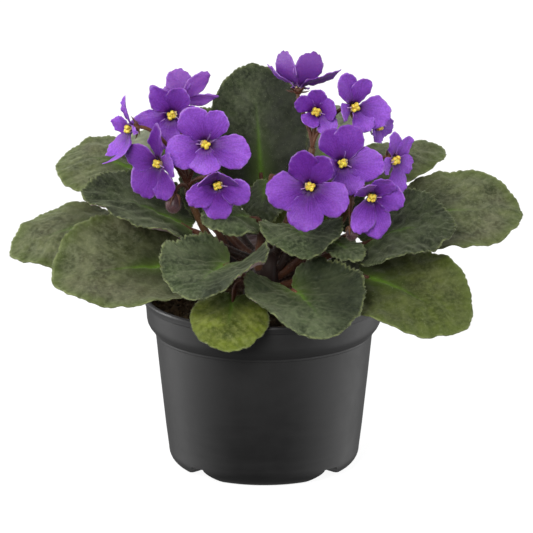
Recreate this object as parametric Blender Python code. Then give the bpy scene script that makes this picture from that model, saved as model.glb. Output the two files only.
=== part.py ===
"""A potted African violet: a nursery pot, its soil, a rosette of leaves and three sprays of flowers.

Everything is laid out in millimetres and scaled to metres when a mesh is made. The pot stands on z = 0 with
its axis on the origin, the front of the plant faces -Y and +X is to the right.
"""

import math
from collections import namedtuple

import bmesh
import bpy
from mathutils import Matrix, Vector

MM = 0.001
GAP = 0.35

# Pot
POT_STEPS = 48
FLOOR_UNDER = 6.5
FLOOR_TOP = 8.0
RIM_RADIUS = 52.6
RIM_TOP = 76.6
BAND_RADIUS = 51.1
BAND_BOTTOM = 65.6
BODY_TOP_RADIUS = 47.4
BODY_TOP = 60.4
BODY_BOTTOM_RADIUS = 41.6
WALL = 1.2
FOOT_GAP_ANGLES = (-45, 45, 135, 225)
FOOT_GAP = (19.0, 5.8)
FOOT_NOTCH_ANGLES = (0, 90, 180, 270)
FOOT_NOTCH = (6.0, 0.6)
FOOT_RING = (27.0, 45.0)
DRAIN_HOLE_RADIUS = 4.0
DRAIN_HOLE_PLACE = 26.0

# Soil and crown
SOIL_TOP = 70.0
CROWN_BOTTOM = 54.0
CROWN_TOP = 97.0
CROWN_RADIUS = 8.0

# Blades and petals
BLADE_THICKNESS = 0.8
PETAL_THICKNESS = 0.7
LEAF_RINGS = (9, 18, 36)
SMALL_LEAF_RINGS = (6, 12, 24)
SMALL_LEAF_WIDTH = 26.0
PETAL_RINGS = (8, 16, 32)
RUFFLES = 5
TOOTH_SHARE = 0.018
TIP_SPREAD = 0.35
SINUS_SPREAD = 0.1
DEEP_NOTCH = 0.4
PETAL_FULLNESS = 0.42
SHORTEST_EDGE = 6.5
THROAT_DEPTH = 2.6
THROAT_RADIUS = 2.4
ANTHER_RADIUS = 1.4
PEDICEL_RADIUS = 0.8
SEPAL_LENGTH = 5.4
SEPAL_CLEFT = 2.0

# A blade runs from its joint on the petiole to its tip. faces is roughly where its upper side looks. arch
# lifts the midrib, cup raises the edges and wave ruffles them. notch is the depth of the sinus, point
# sharpens the tip and lobes curls up the two lobes beside the sinus.
Leaf = namedtuple("Leaf", "joint tip faces width arch cup wave notch point lobes",
                  defaults=(0.22, 0.06, 0.0))

LEAVES = {
    "outer_left": Leaf((-64, 12, 104.5), (-110.7, 2, 93.8), (0.0, -0.40, 0.91), 42.3, 5, -4, 1.2,
                       0.22, 0.12),
    "front_left": Leaf((-40, -21.5, 95), (-91, -38, 92.8), (0.0, -0.45, 0.90), 62, 3, 6, 1.5,
                       0.42, 0.06, 8),
    "upper_left": Leaf((-54, 28, 123.5), (-90, 42, 126), (0.0, -0.28, 0.95), 49, 4, -2, 1.0),
    "rear_left_small": Leaf((-40, 22, 133), (-58, 36, 139), (0.0, -0.40, 0.90), 22, 2, -1, 0.8),
    "middle_left": Leaf((-31.5, -5, 107.5), (-79, -8, 125), (0.0, -0.30, 0.92), 42, 3, 5, 1.6),
    "tall_centre": Leaf((-1, 22, 120), (-5, 50, 167.4), (0.08, -0.90, 0.42), 43, 3, 3, 1.2),
    "inner_dark": Leaf((2.5, 6, 126), (-1.6, -7, 109.5), (-0.3, -0.75, 0.60), 22, 4, -3, 1.4),
    "inner_left": Leaf((-5, -12, 114.5), (-26, -26, 115.5), (0.0, -0.40, 0.90), 25, 3, -2, 1.0),
    "front_heart_left": Leaf((-15, -36, 101), (-33, -68, 94), (-0.12, -0.28, 0.95), 46, 3, 8, 1.2,
                             0.50, 0.06, 18),
    "front_heart": Leaf((12, -34, 89), (29, -72, 78), (0.0, -0.25, 0.97), 51, 3, 7, 1.2,
                        0.50, 0.06, 18),
    "front_low": Leaf((-13, -40, 88), (-17, -66, 70), (0.0, -0.60, 0.80), 34, 2, -2, 0.8),
    "front_right": Leaf((41, -20, 91.2), (87.5, -47, 74.4), (0.0, -0.42, 0.90), 52.5, 4, 3, 1.4, 0.30),
    "middle_right": Leaf((43, -12, 103), (83, -20, 112), (0.0, -0.40, 0.90), 46, 4, 3, 1.2, 0.30),
    "outer_right": Leaf((61, 13, 107), (112.7, 11, 109.3), (0.0, -0.42, 0.91), 53.5, 4, 1, 1.3,
                        0.26, 0.02),
    "upper_right": Leaf((38, 30, 122), (79.5, 53, 127.8), (0.0, -0.30, 0.95), 31, 4, -3, 1.0),
    "rear_pale": Leaf((24, 30, 124), (33, 54, 147), (0.0, -0.75, 0.60), 30, 3, 2, 1.0),
    "centre_low": Leaf((15, -10, 111), (18, -37, 103), (0.0, -0.30, 0.95), 36, 3, 4, 1.0, 0.30),
    "inner_right": Leaf((29, -15, 104.5), (42, -31, 100.5), (0.0, -0.30, 0.95), 16, 2, -1, 0.6),
    "inner_bright": Leaf((9, 3, 102), (15, 13, 115), (0.0, -0.80, 0.60), 15, 1, 1, 0.5),
    "behind_left": Leaf((-22.1, 4.8, 109), (-33, 9.5, 137), (0.26, -0.80, 0.50), 21, 2, 0, 0.8),
    "low_right": Leaf((28, -3, 86), (50, 1, 84), (0.0, -0.50, 0.87), 24, 2, 2, 0.8),
    "behind_right": Leaf((27, 5, 106), (37, 8, 130), (0.1, -0.85, 0.50), 25, 2, 2, 0.8),
    "rear_centre_left": Leaf((-20, 30, 122), (-28, 54, 146), (0.0, -0.75, 0.60), 28, 3, 2, 1.0),
    "back_left": Leaf((-36, 26, 94), (-67, 53, 69), (-0.4, 0.30, 0.90), 46, 5, -3, 1.2),
    "back": Leaf((0, 33, 95.5), (-3, 72, 70.8), (0.0, 0.40, 0.90), 46, 5, -3, 1.2),
    "back_right": Leaf((34, 26, 89), (64, 54, 65), (0.4, 0.30, 0.90), 46, 5, -3, 1.2),
}

# A flower looks towards azimuth, from 0 at the front to +90 at the right, and elevation above level. spread
# is the angle that a petal of breadth 1 reaches to either side. Each petal has its bearing, clockwise from
# the flower's top, its length and the angle of its fold to the front, and point draws its tip out.
Petal = namedtuple("Petal", "bearing length fold breadth point", defaults=(1.0, 0.0))
Flower = namedtuple("Flower", "centre azimuth elevation petals stalk spread", defaults=("left", 43))

FLOWERS = {
    "left_side": Flower((-58.5, -17, 155.5), -68, -5, (
        Petal(7, 14.5, 7, 0.6, 0.12), Petal(85, 7.5, -5, 0.8), Petal(165, 17.5, 46, 0.75, 0.1),
        Petal(208, 15.5, 40, 0.8), Petal(283, 9.6, 28, 1.15)), "left", 36),
    "left_rear": Flower((-40, -7, 159), -6, 5, (
        Petal(22, 14.5, 22, 0.9), Petal(100, 15, 8), Petal(195, 15, 8),
        Petal(257, 16.5, 8, 0.6, 0.2), Petal(325, 14.1, 10, 0.85, 0.15))),
    "left_top": Flower((-36, 14, 160), 172, 12, (
        Petal(8, 14.3, 15, 1.15), Petal(66, 10, 25), Petal(180, 12, 10),
        Petal(273, 14.5, 16, 0.62, 0.15), Petal(318, 17.3, 12, 0.68)), "left", 34),
    "left_front": Flower((-46, -24, 142), -32, -8, (
        Petal(5, 17, 3, 0.5, 0.12), Petal(84, 13.5, 26), Petal(168, 17, 9, 0.8),
        Petal(214, 19, 8, 0.95), Petal(280, 15.5, 5, 1.05))),
    "left_large": Flower((-25, -26, 151), -2, 5, (
        Petal(23, 17, 10, 0.8), Petal(105, 19.8, 6, 0.95), Petal(182, 13, 11, 1.35),
        Petal(252, 17.5, 6, 1.1), Petal(335, 18.4, 12, 1.0))),
    "left_low": Flower((-20, -34, 135), 2, -14, (
        Petal(38, 11.5, 38, 1.1), Petal(112, 15, 12, 1.05), Petal(178, 17.5, 5, 0.85),
        Petal(236, 15, 10), Petal(320, 11.5, 38, 1.1))),
    "top": Flower((15, 6, 170), 172, 62, (
        Petal(49, 15.2, 55, 1.4), Petal(84, 14.5, 28, 0.7, 0.08), Petal(180, 12, 5),
        Petal(276, 18.5, 20.5, 0.85, 0.06), Petal(320, 15, 54, 1.45)), "right_rear", 34),
    "rear_small": Flower((22.5, -8, 160.8), -6, 8, (
        Petal(5, 11, 20, 0.9), Petal(75, 10.8, 30, 1.1), Petal(135, 12, 10),
        Petal(212, 9, 46, 1.1), Petal(305, 10.8, 25, 0.9)), "right_rear"),
    "right_rear": Flower((39.3, -8, 162.9), 26, 4, (
        Petal(19, 13.8, 12, 0.8), Petal(112, 17.6, 5), Petal(150, 13, 8, 0.95),
        Petal(258, 11.5, 36, 0.8), Petal(337, 17.3, 10, 0.66)), "right_rear"),
    "right_hidden": Flower((50, 5, 151), 60, -8, (
        Petal(35, 6.5, 10), Petal(108, 11, 10), Petal(165, 8.5, 10),
        Petal(235, 6.5, 10), Petal(305, 6.5, 10)), "right_front"),
    "right_side": Flower((57, -14, 140.8), 48, -6, (
        Petal(350, 13, -5, 0.7, 0.05), Petal(45, 12.3, 2, 0.8), Petal(118, 12.8, 4, 0.9),
        Petal(160, 16, 6, 0.8), Petal(250, 9, 6, 1.1)), "right_front"),
    "right_middle": Flower((33.8, -22, 141.5), 4, 8, (
        Petal(15, 17.8, 10, 0.95), Petal(93, 18.4, 6, 0.95), Petal(163, 15, 8, 1.15),
        Petal(252, 11, 6), Petal(336, 17, 10, 0.85)), "right_front"),
    "right_large": Flower((20, -36, 135), -4, 4, (
        Petal(30, 15.5, 10, 0.9), Petal(120, 18.3, 6, 1.05), Petal(190, 20.3, 6, 0.9),
        Petal(259, 19.6, 6), Petal(342, 16.7, 10, 0.95)), "right_front"),
    "right_low": Flower((46.3, -32, 129), 8, -18, (
        Petal(35, 13.5, 15, 0.9), Petal(96, 14.5, 8, 1.15), Petal(168, 21, 5, 0.75),
        Petal(198, 18, 14, 0.75), Petal(330, 12, 30)), "right_front"),
}

# Flower stalks, from inside the crown to the node that their pedicels leave from
STALKS = {
    "left": ((-3, -3, 92), (-14, -8, 98), (-23, -10, 104), (-29, -13, 116), (-33, -13, 126)),
    "right_rear": ((4, -1, 92), (10, -4, 110), (18, -6, 128), (21, -6, 144)),
    "right_front": ((4, -3, 90), (18, -3, 98), (31, -5, 108), (38, -10, 121)),
}
STALK_RADII = (2.0, 1.5)
PETIOLE_RADII = (2.0, 1.3)

# A bud hangs from its node by a curled pedicel: centre, direction of its tip, length and width
Bud = namedtuple("Bud", "centre points length width stalk")
BUDS = {
    "left": Bud((-39, -24, 124), (-0.15, -0.25, -1.0), 8.5, 6.5, "left"),
    "right": Bud((38, -25, 111), (0.1, -0.3, -1.0), 6.5, 5.0, "right_front"),
}

COLOURS = {
    "pot": ((0.020, 0.020, 0.021), 0.42),
    "soil": ((0.018, 0.011, 0.007), 0.95),
    "stem": ((0.120, 0.035, 0.022), 0.60),
    "leaf": ((0.065, 0.105, 0.035), 0.62),
    "petal": ((0.190, 0.035, 0.480), 0.60),
    "anther": ((0.800, 0.560, 0.030), 0.50),
    "bud": ((0.120, 0.040, 0.060), 0.60),
}


def material(name):
    """The Principled material of one kind of piece."""
    found = bpy.data.materials.get(name)
    if found:
        return found
    colour, roughness = COLOURS[name]
    made = bpy.data.materials.new(name)
    made.use_nodes = True
    shader = made.node_tree.nodes["Principled BSDF"]
    shader.inputs["Base Color"].default_value = (*colour, 1.0)
    shader.inputs["Roughness"].default_value = roughness
    made.diffuse_color = (*colour, 1.0)
    return made


def make_object(name, points, faces, kind):
    """A smooth-shaded object from points in millimetres."""
    mesh = bpy.data.meshes.new(name)
    mesh.from_pydata([Vector(point) * MM for point in points], [], faces)
    mesh.materials.append(material(kind))
    mesh.shade_smooth()
    made = bpy.data.objects.new(name, mesh)
    bpy.context.collection.objects.link(made)
    return made


def turned(name, profile, steps, kind):
    """A solid turned about Z. Its profile of (radius, height) runs from the axis out and back to it."""
    shape = bmesh.new()
    outline = [shape.verts.new((radius * MM, 0.0, height * MM)) for radius, height in profile]
    edges = [shape.edges.new(pair) for pair in zip(outline, outline[1:])]
    bmesh.ops.spin(shape, geom=outline + edges, cent=(0, 0, 0), axis=(0, 0, 1), angle=math.tau,
                   steps=steps, use_merge=True)
    bmesh.ops.remove_doubles(shape, verts=shape.verts, dist=MM * 0.001)
    bmesh.ops.recalc_face_normals(shape, faces=shape.faces)
    mesh = bpy.data.meshes.new(name)
    shape.to_mesh(mesh)
    shape.free()
    mesh.materials.append(material(kind))
    mesh.shade_smooth()
    mesh.set_sharp_from_angle(angle=math.radians(35))
    made = bpy.data.objects.new(name, mesh)
    bpy.context.collection.objects.link(made)
    return made


def keep_result(made, modifier_name, helpers):
    """Apply the object's modifier and remove the objects that it used."""
    with bpy.context.temp_override(object=made, active_object=made, selected_objects=[made]):
        bpy.ops.object.modifier_apply(modifier=modifier_name)
    for helper in helpers:
        bpy.data.objects.remove(helper)


def gather(made, helpers, operation, solver):
    """Boolean the helper objects, as one collection, into or out of an object."""
    group = bpy.data.collections.new(made.name + "_helpers")
    for helper in helpers:
        bpy.context.collection.objects.unlink(helper)
        group.objects.link(helper)
    bpy.context.scene.collection.children.link(group)
    change = made.modifiers.new("gather", "BOOLEAN")
    change.operation = operation
    change.solver = solver
    change.operand_type = "COLLECTION"
    change.collection = group
    keep_result(made, change.name, helpers)
    bpy.data.collections.remove(group)


# Pot and soil


def foot_cutter(angle, width, height):
    """An arch through the ring of feet, at an angle from the front, that widens towards the ground."""
    shares = ((0.5, -2.0), (0.5, 0.0), (0.4, 0.25), (0.29, 0.65), (0.2, 1.0))
    right = [(width * across, height * max(up, 0.0) + min(up, 0.0)) for across, up in shares]
    outline = right + [(-x, z) for x, z in reversed(right)]
    turn = Matrix.Rotation(math.radians(angle), 3, "Z")
    points = [turn @ Vector((x, -radius, z)) for radius in FOOT_RING for x, z in outline]
    count = len(outline)
    faces = [tuple(reversed(range(count))), tuple(range(count, 2 * count))]
    faces += [(here, (here + 1) % count, (here + 1) % count + count, here + count) for here in range(count)]
    return make_object("foot_cutter", points, faces, "pot")


def drain_cutter(angle):
    """A round cutter through the floor, between two feet."""
    turn = Matrix.Rotation(math.radians(angle), 3, "Z")
    place = turn @ Vector((0, -DRAIN_HOLE_PLACE, FLOOR_UNDER)) * MM
    bpy.ops.mesh.primitive_cylinder_add(vertices=12, radius=DRAIN_HOLE_RADIUS * MM, depth=8 * MM,
                                        location=place)
    return bpy.context.object


def make_pot():
    """The turned pot, with the gaps and notches of its foot and its drain holes cut out."""
    profile = (
        (0.0, FLOOR_UNDER), (29.8, FLOOR_UNDER), (30.4, 0.0),
        (34.2, 0.0), (37.2, 0.8), (39.5, 2.6), (41.0, 5.2), (BODY_BOTTOM_RADIUS, 7.8),
        (BODY_TOP_RADIUS, BODY_TOP),
        (BAND_RADIUS, BAND_BOTTOM), (BAND_RADIUS + 0.5, 72.4),
        (RIM_RADIUS - 0.1, 73.2), (RIM_RADIUS, 75.2),
        (RIM_RADIUS - 0.7, RIM_TOP), (RIM_RADIUS - 1.6, RIM_TOP), (RIM_RADIUS - 2.4, RIM_TOP - 1.0),
        (BAND_RADIUS - WALL, BAND_BOTTOM + 0.6), (BODY_TOP_RADIUS - WALL, BODY_TOP + 0.6),
        (BODY_BOTTOM_RADIUS - WALL, FLOOR_TOP), (0.0, FLOOR_TOP),
    )
    pot = turned("pot", profile, POT_STEPS, "pot")
    cutters = [foot_cutter(angle, *FOOT_GAP) for angle in FOOT_GAP_ANGLES]
    cutters += [foot_cutter(angle, *FOOT_NOTCH) for angle in FOOT_NOTCH_ANGLES]
    cutters += [drain_cutter(angle) for angle in FOOT_GAP_ANGLES]
    gather(pot, cutters, "DIFFERENCE", "EXACT")
    return pot


def soil_height(x, y):
    """The clods and hollows of the soil's surface."""
    rough = math.sin(0.31 * x + 1.0) * math.cos(0.27 * y) + 0.6 * math.sin(0.55 * x - 0.43 * y + 2.0)
    return SOIL_TOP + 1.1 * rough


def make_soil():
    """The soil plug, a little smaller than the pot's inside, with a hollow that the crown stands in."""
    hollow = CROWN_RADIUS + 0.6
    profile = (
        (0.0, FLOOR_TOP + GAP), (BODY_BOTTOM_RADIUS - WALL - 0.5, FLOOR_TOP + GAP),
        (BODY_TOP_RADIUS - WALL - 0.5, BODY_TOP + 0.8), (BAND_RADIUS - WALL - 0.6, BAND_BOTTOM + 0.8),
        (BAND_RADIUS - WALL - 0.5, SOIL_TOP), (40.0, SOIL_TOP), (30.0, SOIL_TOP), (20.0, SOIL_TOP),
        (hollow, SOIL_TOP), (hollow, CROWN_BOTTOM - GAP), (0.0, CROWN_BOTTOM - GAP),
    )
    soil = turned("soil", profile, 40, "soil")
    for vertex in soil.data.vertices:
        x, y, z = vertex.co / MM
        if z > SOIL_TOP - 0.1:
            vertex.co.z = soil_height(x, y) * MM
    return soil


# Curves and tubes


def bezier(start, first, second, end, steps):
    """Points along a cubic curve, both ends included."""
    points = []
    for step in range(steps + 1):
        t = step / steps
        inner = first * (1 - t) + second * t
        points.append(start * (1 - t) ** 3 + inner * 3 * t * (1 - t) + end * t ** 3)
    return points


def smooth_through(points, steps):
    """A Catmull-Rom curve through the points, with steps pieces between each two."""
    points = [Vector(point) for point in points]
    padded = [points[0] * 2 - points[1], *points, points[-1] * 2 - points[-2]]
    curve = [points[0]]
    for before, start, end, after in zip(padded, padded[1:], padded[2:], padded[3:]):
        for step in range(1, steps + 1):
            t = step / steps
            bend = (2 * before - 5 * start + 4 * end - after) * t ** 2
            twist = (3 * start - before - 3 * end + after) * t ** 3
            curve.append(start + 0.5 * ((end - before) * t + bend + twist))
    return curve


def tube(name, curve, radii, sides, kind):
    """A closed tube along a curve, its radius running evenly from the first value to the last."""
    points = []
    side = None
    last = len(curve) - 1
    for index, centre in enumerate(curve):
        along = (curve[min(index + 1, last)] - curve[max(index - 1, 0)]).normalized()
        if side is None:
            side = along.orthogonal().normalized()
        side = (side - along * side.dot(along)).normalized()
        across = along.cross(side)
        radius = radii[0] + (radii[1] - radii[0]) * index / last
        for corner in range(sides):
            turn = math.tau * corner / sides
            points.append(centre + (side * math.cos(turn) + across * math.sin(turn)) * radius)
    faces = [tuple(range(sides))[::-1], tuple(range(last * sides, (last + 1) * sides))]
    for ring in range(last):
        for corner in range(sides):
            here, there = ring * sides + corner, ring * sides + (corner + 1) % sides
            faces.append((here, there, there + sides, here + sides))
    return make_object(name, points, faces, kind)


# Thin shapes: leaf blades, corollas and calyxes


def ring_triangles(counts):
    """Triangles of a disc: a middle point, then rings that each have twice the points of the last."""
    triangles = [(0, 1 + step, 1 + (step + 1) % counts[0]) for step in range(counts[0])]
    inner = 1
    for few, many in zip(counts, counts[1:]):
        outer = inner + few
        for step in range(few):
            here, after = inner + step, inner + (step + 1) % few
            edge = [outer + (2 * step + extra) % many for extra in range(3)]
            triangles += [(here, edge[0], edge[1]), (here, edge[1], after), (after, edge[1], edge[2])]
        inner = outer
    return triangles


def thin_solid(name, surface, counts, thickness, kind):
    """A closed sheet. surface(reach, turn) gives its upper side, turn being a share of the way round."""
    points = [surface(0.0, 0.0)]
    for ring, count in enumerate(counts):
        points += [surface((ring + 1) / len(counts), step / count) for step in range(count)]
    triangles = ring_triangles(counts)
    normals = [Vector() for _ in points]
    for a, b, c in triangles:
        normal = (points[b] - points[a]).cross(points[c] - points[a])
        for corner in (a, b, c):
            normals[corner] += normal
    under = [point - normal.normalized() * thickness for point, normal in zip(points, normals)]
    count = len(points)
    rim = list(range(count - counts[-1], count))
    faces = list(triangles) + [(c + count, b + count, a + count) for a, b, c in triangles]
    for here, there in zip(rim, rim[1:] + rim[:1]):
        faces.append((there, here, here + count))
        faces.append((there, here + count, there + count))
    return make_object(name, points + under, faces, kind)


def leaf_axes(leaf):
    """The blade's own axes: along the midrib, across it and out of its upper side."""
    along = (Vector(leaf.tip) - Vector(leaf.joint)).normalized()
    up = Vector(leaf.faces)
    up = (up - along * up.dot(along)).normalized()
    return along, up.cross(along), up


def leaf_rings(leaf):
    """How many points there are on each ring of the blade's mesh."""
    return SMALL_LEAF_RINGS if leaf.width < SMALL_LEAF_WIDTH else LEAF_RINGS


def leaf_surface(leaf):
    """The function that gives a point of the blade's upper side."""
    along, across, up = leaf_axes(leaf)
    length = (Vector(leaf.tip) - Vector(leaf.joint)).length
    half_length = length / (2 + leaf.point - leaf.notch)
    half_width = leaf.width / 2
    teeth = leaf_rings(leaf)[-1] / 2

    def surface(reach, turn):
        angle = math.tau * turn
        from_tip = min(angle, math.tau - angle)
        radius = 1 + leaf.point * math.exp(-(from_tip / TIP_SPREAD) ** 2)
        radius -= leaf.notch * math.exp(-((math.pi - from_tip) * leaf.notch / SINUS_SPREAD) ** 2)
        radius *= 1 + TOOTH_SHARE * math.cos(angle * teeth) * reach ** 6
        x = half_length * (1 - leaf.notch + reach * radius * math.cos(angle))
        y = half_width * reach * radius * math.sin(angle)
        z = leaf.arch * (1 - (2 * x / length - 1) ** 2)
        z += leaf.cup * (y / half_width) ** 2
        z += leaf.wave * reach ** 3 * math.sin(angle * RUFFLES + leaf.width) * min(1.0, abs(y) / 8)
        z += leaf.lobes * max(0.0, 0.5 - x / half_length) ** 2 * abs(y) / half_width
        return Vector(leaf.joint) + along * x + across * y + up * z

    return surface


def make_leaf(name, leaf):
    """One leaf blade with its crenate edge."""
    return thin_solid("leaf_blade_" + name, leaf_surface(leaf), leaf_rings(leaf), BLADE_THICKNESS, "leaf")


def make_petiole(leaf):
    """The stalk of one leaf, from the crown to just short of the blade, or below it if deeply notched."""
    along, _, up = leaf_axes(leaf)
    below = leaf.notch > DEEP_NOTCH
    end = Vector(leaf.joint) - along * 0.85 - up * (2.4 if below else 0.5)
    arriving = (along + up).normalized() if below else along
    outward = Vector((end.x, end.y, 0)).normalized()
    root_height = min(92.0, max(78.0, 78.0 + 0.4 * (end.z - 88.0)))
    root = outward * 4.0 + Vector((0, 0, root_height))
    span = (end - root).length
    leaving = root + (outward + Vector((0, 0, 0.35))) * span * 0.35
    curve = bezier(root, leaving, end - arriving * span * 0.3, end, 5)
    return tube("petiole", curve, PETIOLE_RADII, 6, "stem")


# Flowers


def flower_axes(flower):
    """The flower's own axes: to its right, to its top and out of its face."""
    azimuth, elevation = math.radians(flower.azimuth), math.radians(flower.elevation)
    level = Vector((math.sin(azimuth), -math.cos(azimuth), 0))
    face = level * math.cos(elevation) + Vector((0, 0, math.sin(elevation)))
    right = Vector((math.cos(azimuth), math.sin(azimuth), 0))
    return right, face.cross(right), face


def petal_shares(flower, bearing):
    """How far each petal reaches at a bearing, as a share of its length."""
    shares = []
    for petal in flower.petals:
        off = abs((bearing - petal.bearing + 180) % 360 - 180) / (flower.spread * petal.breadth)
        drawn = 1 + petal.point * math.exp(-(off / TIP_SPREAD) ** 2)
        shares.append(drawn * max(0.0, 1 - off ** 3) ** PETAL_FULLNESS)
    return shares


def flower_surface(flower):
    """The function that gives a point of the corolla's face."""
    right, top, face = flower_axes(flower)

    def surface(reach, turn):
        bearing = -360 * turn
        shares = petal_shares(flower, bearing)
        edge = max(share * petal.length for share, petal in zip(shares, flower.petals))
        weights = [share ** 4 + 1e-6 for share in shares]
        fold = sum(weight * petal.fold for weight, petal in zip(weights, flower.petals)) / sum(weights)
        fold = math.radians(fold * (0.2 + 0.8 * reach))
        distance = max(edge, SHORTEST_EDGE) * reach
        outward = right * math.sin(math.radians(bearing)) + top * math.cos(math.radians(bearing))
        dip = THROAT_DEPTH * math.exp(-(distance / THROAT_RADIUS) ** 2)
        rise = distance * math.sin(fold) - dip
        return Vector(flower.centre) + outward * distance * math.cos(fold) + face * rise

    return surface


def make_corolla(name, flower):
    """The five joined petals of one flower."""
    return thin_solid("corolla_" + name, flower_surface(flower), PETAL_RINGS, PETAL_THICKNESS, "petal")


def ball(name, centre, radii, axes, kind, steps):
    """An ellipsoid with its own axes."""
    bpy.ops.mesh.primitive_uv_sphere_add(segments=steps[0], ring_count=steps[1], radius=1.0)
    made = bpy.context.object
    made.name = name
    frame = Matrix([axis * radius * MM for axis, radius in zip(axes, radii)]).transposed().to_4x4()
    made.data.transform(Matrix.Translation(Vector(centre) * MM) @ frame)
    made.data.materials.append(material(kind))
    made.data.shade_smooth()
    return made


def make_anthers(name, flower):
    """The pair of joined yellow pollen sacs in the throat."""
    right, top, face = flower_axes(flower)
    middle = Vector(flower.centre) + face * (ANTHER_RADIUS + GAP - THROAT_DEPTH + 1.2)
    radii = (ANTHER_RADIUS * 0.9, ANTHER_RADIUS * 1.15, ANTHER_RADIUS)
    first, second = (
        ball("anthers_" + name, middle + right * side, radii, (right, top, face), "anther", (6, 3))
        for side in (-ANTHER_RADIUS * 0.6, ANTHER_RADIUS * 0.6))
    gather(first, [second], "UNION", "MANIFOLD")
    return first


def make_calyx(flower):
    """The five pointed sepals behind one corolla."""
    right, top, face = flower_axes(flower)

    def surface(reach, turn):
        radius = (SEPAL_CLEFT if round(turn * 10) % 2 else SEPAL_LENGTH) * reach
        angle = math.tau * turn
        outward = top * math.cos(angle) - right * math.sin(angle)
        behind = THROAT_DEPTH + PETAL_THICKNESS + GAP - 0.18 * radius
        return Vector(flower.centre) + outward * radius - face * behind

    return thin_solid("calyx", surface, (10,), PETAL_THICKNESS, "stem")


def make_pedicel(flower):
    """The thin stalk of one flower, from the end of its spray's stalk to the calyx."""
    _, _, face = flower_axes(flower)
    start = Vector(STALKS[flower.stalk][-1])
    end = Vector(flower.centre) - face * (THROAT_DEPTH + PETAL_THICKNESS + GAP + 0.3)
    span = (end - start).length
    rise = Vector((0, 0, 0.35)) * span
    curve = bezier(start, start + rise, end - face * span * 0.22, end, 4)
    return tube("pedicel", curve, (PEDICEL_RADIUS * 1.15, PEDICEL_RADIUS), 5, "stem")


def make_bud(name, bud):
    """A closed bud."""
    points = Vector(bud.points).normalized()
    side = points.orthogonal().normalized()
    axes = (side, points.cross(side), points)
    radii = (bud.width / 2, bud.width / 2, bud.length / 2)
    return ball("bud_" + name, bud.centre, radii, axes, "bud", (8, 6))


def make_bud_pedicel(bud):
    """The curled stalk that a bud hangs from."""
    start = Vector(STALKS[bud.stalk][-1])
    points = Vector(bud.points).normalized()
    end = Vector(bud.centre) - points * (bud.length / 2 + GAP)
    span = (end - start).length
    curve = bezier(start, start + Vector((0, -0.5, 0.5)) * span, end - points * span * 0.5, end, 5)
    return tube("bud_pedicel", curve, (PEDICEL_RADIUS, PEDICEL_RADIUS), 5, "stem")


def make_stems():
    """The crown with every petiole, flower stalk, pedicel and calyx, joined in one body."""
    profile = ((0.0, CROWN_BOTTOM), (CROWN_RADIUS - 1.0, CROWN_BOTTOM), (CROWN_RADIUS, SOIL_TOP),
               (CROWN_RADIUS + 0.8, 80.0), (CROWN_RADIUS, 90.0), (5.0, CROWN_TOP - 1.0), (0.0, CROWN_TOP))
    crown = turned("crown_and_stems", profile, 16, "stem")
    shoots = [make_petiole(leaf) for leaf in LEAVES.values()]
    for points in STALKS.values():
        shoots.append(tube("stalk", smooth_through(points, 2), STALK_RADII, 6, "stem"))
    for flower in FLOWERS.values():
        shoots += [make_pedicel(flower), make_calyx(flower)]
    shoots += [make_bud_pedicel(bud) for bud in BUDS.values()]
    gather(crown, shoots, "UNION", "MANIFOLD")
    return crown


def main():
    for old in list(bpy.data.objects):
        bpy.data.objects.remove(old)
    make_pot()
    make_soil()
    make_stems()
    for name, leaf in LEAVES.items():
        make_leaf(name, leaf)
    for name, flower in FLOWERS.items():
        make_corolla(name, flower)
        make_anthers(name, flower)
    for name, bud in BUDS.items():
        make_bud(name, bud)


main()
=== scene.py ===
"""The looks of the potted African violet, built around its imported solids.

Shapes are laid out in millimetres, as on the solids: the pot's axis is on the origin, the pot stands on
z = 0, the front of the plant faces -Y and +X is to the right. A mesh is scaled to metres when it is made.
"""

import functools
import math
from collections import namedtuple

import bpy
import numpy as np
from mathutils import Matrix


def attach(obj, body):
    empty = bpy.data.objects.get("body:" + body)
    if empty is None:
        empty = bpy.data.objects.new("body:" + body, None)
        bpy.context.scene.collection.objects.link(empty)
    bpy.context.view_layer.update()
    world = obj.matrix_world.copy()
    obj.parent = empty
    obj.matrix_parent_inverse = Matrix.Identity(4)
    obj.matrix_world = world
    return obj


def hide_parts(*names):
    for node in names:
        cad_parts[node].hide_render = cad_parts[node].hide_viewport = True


MM = 0.001
TAU = math.tau

# Pot, soil and crown
POT_STEPS = 144
FLOOR_UNDER = 6.5
FLOOR_TOP = 8.0
RIM_RADIUS = 52.6
RIM_TOP = 76.6
BAND_RADIUS = 51.1
BAND_BOTTOM = 65.6
BODY_TOP_RADIUS = 47.4
BODY_TOP = 60.4
BODY_BOTTOM_RADIUS = 41.6
WALL = 1.2
FOOT_GAP_ANGLES = (-45, 45, 135, 225)
FOOT_GAP = (19.0, 5.8)
FOOT_NOTCH_ANGLES = (0, 90, 180, 270)
FOOT_NOTCH = (6.0, 0.6)
FOOT_RING = (27.0, 45.0)
UNDER_FOOT = -2.0
DRAIN_HOLE_RADIUS = 4.0
DRAIN_HOLE_PLACE = 26.0
SOIL_TOP = 70.0
SOIL_GAP = 0.35
SOIL_STEPS = 160
SOIL_RINGS = 34
CRUMBS = 900
CRUMB_SIZES = (0.5, 1.6)
CROWN_BOTTOM = 54.0
CROWN_TOP = 97.0
CROWN_RADIUS = 8.0

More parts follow.
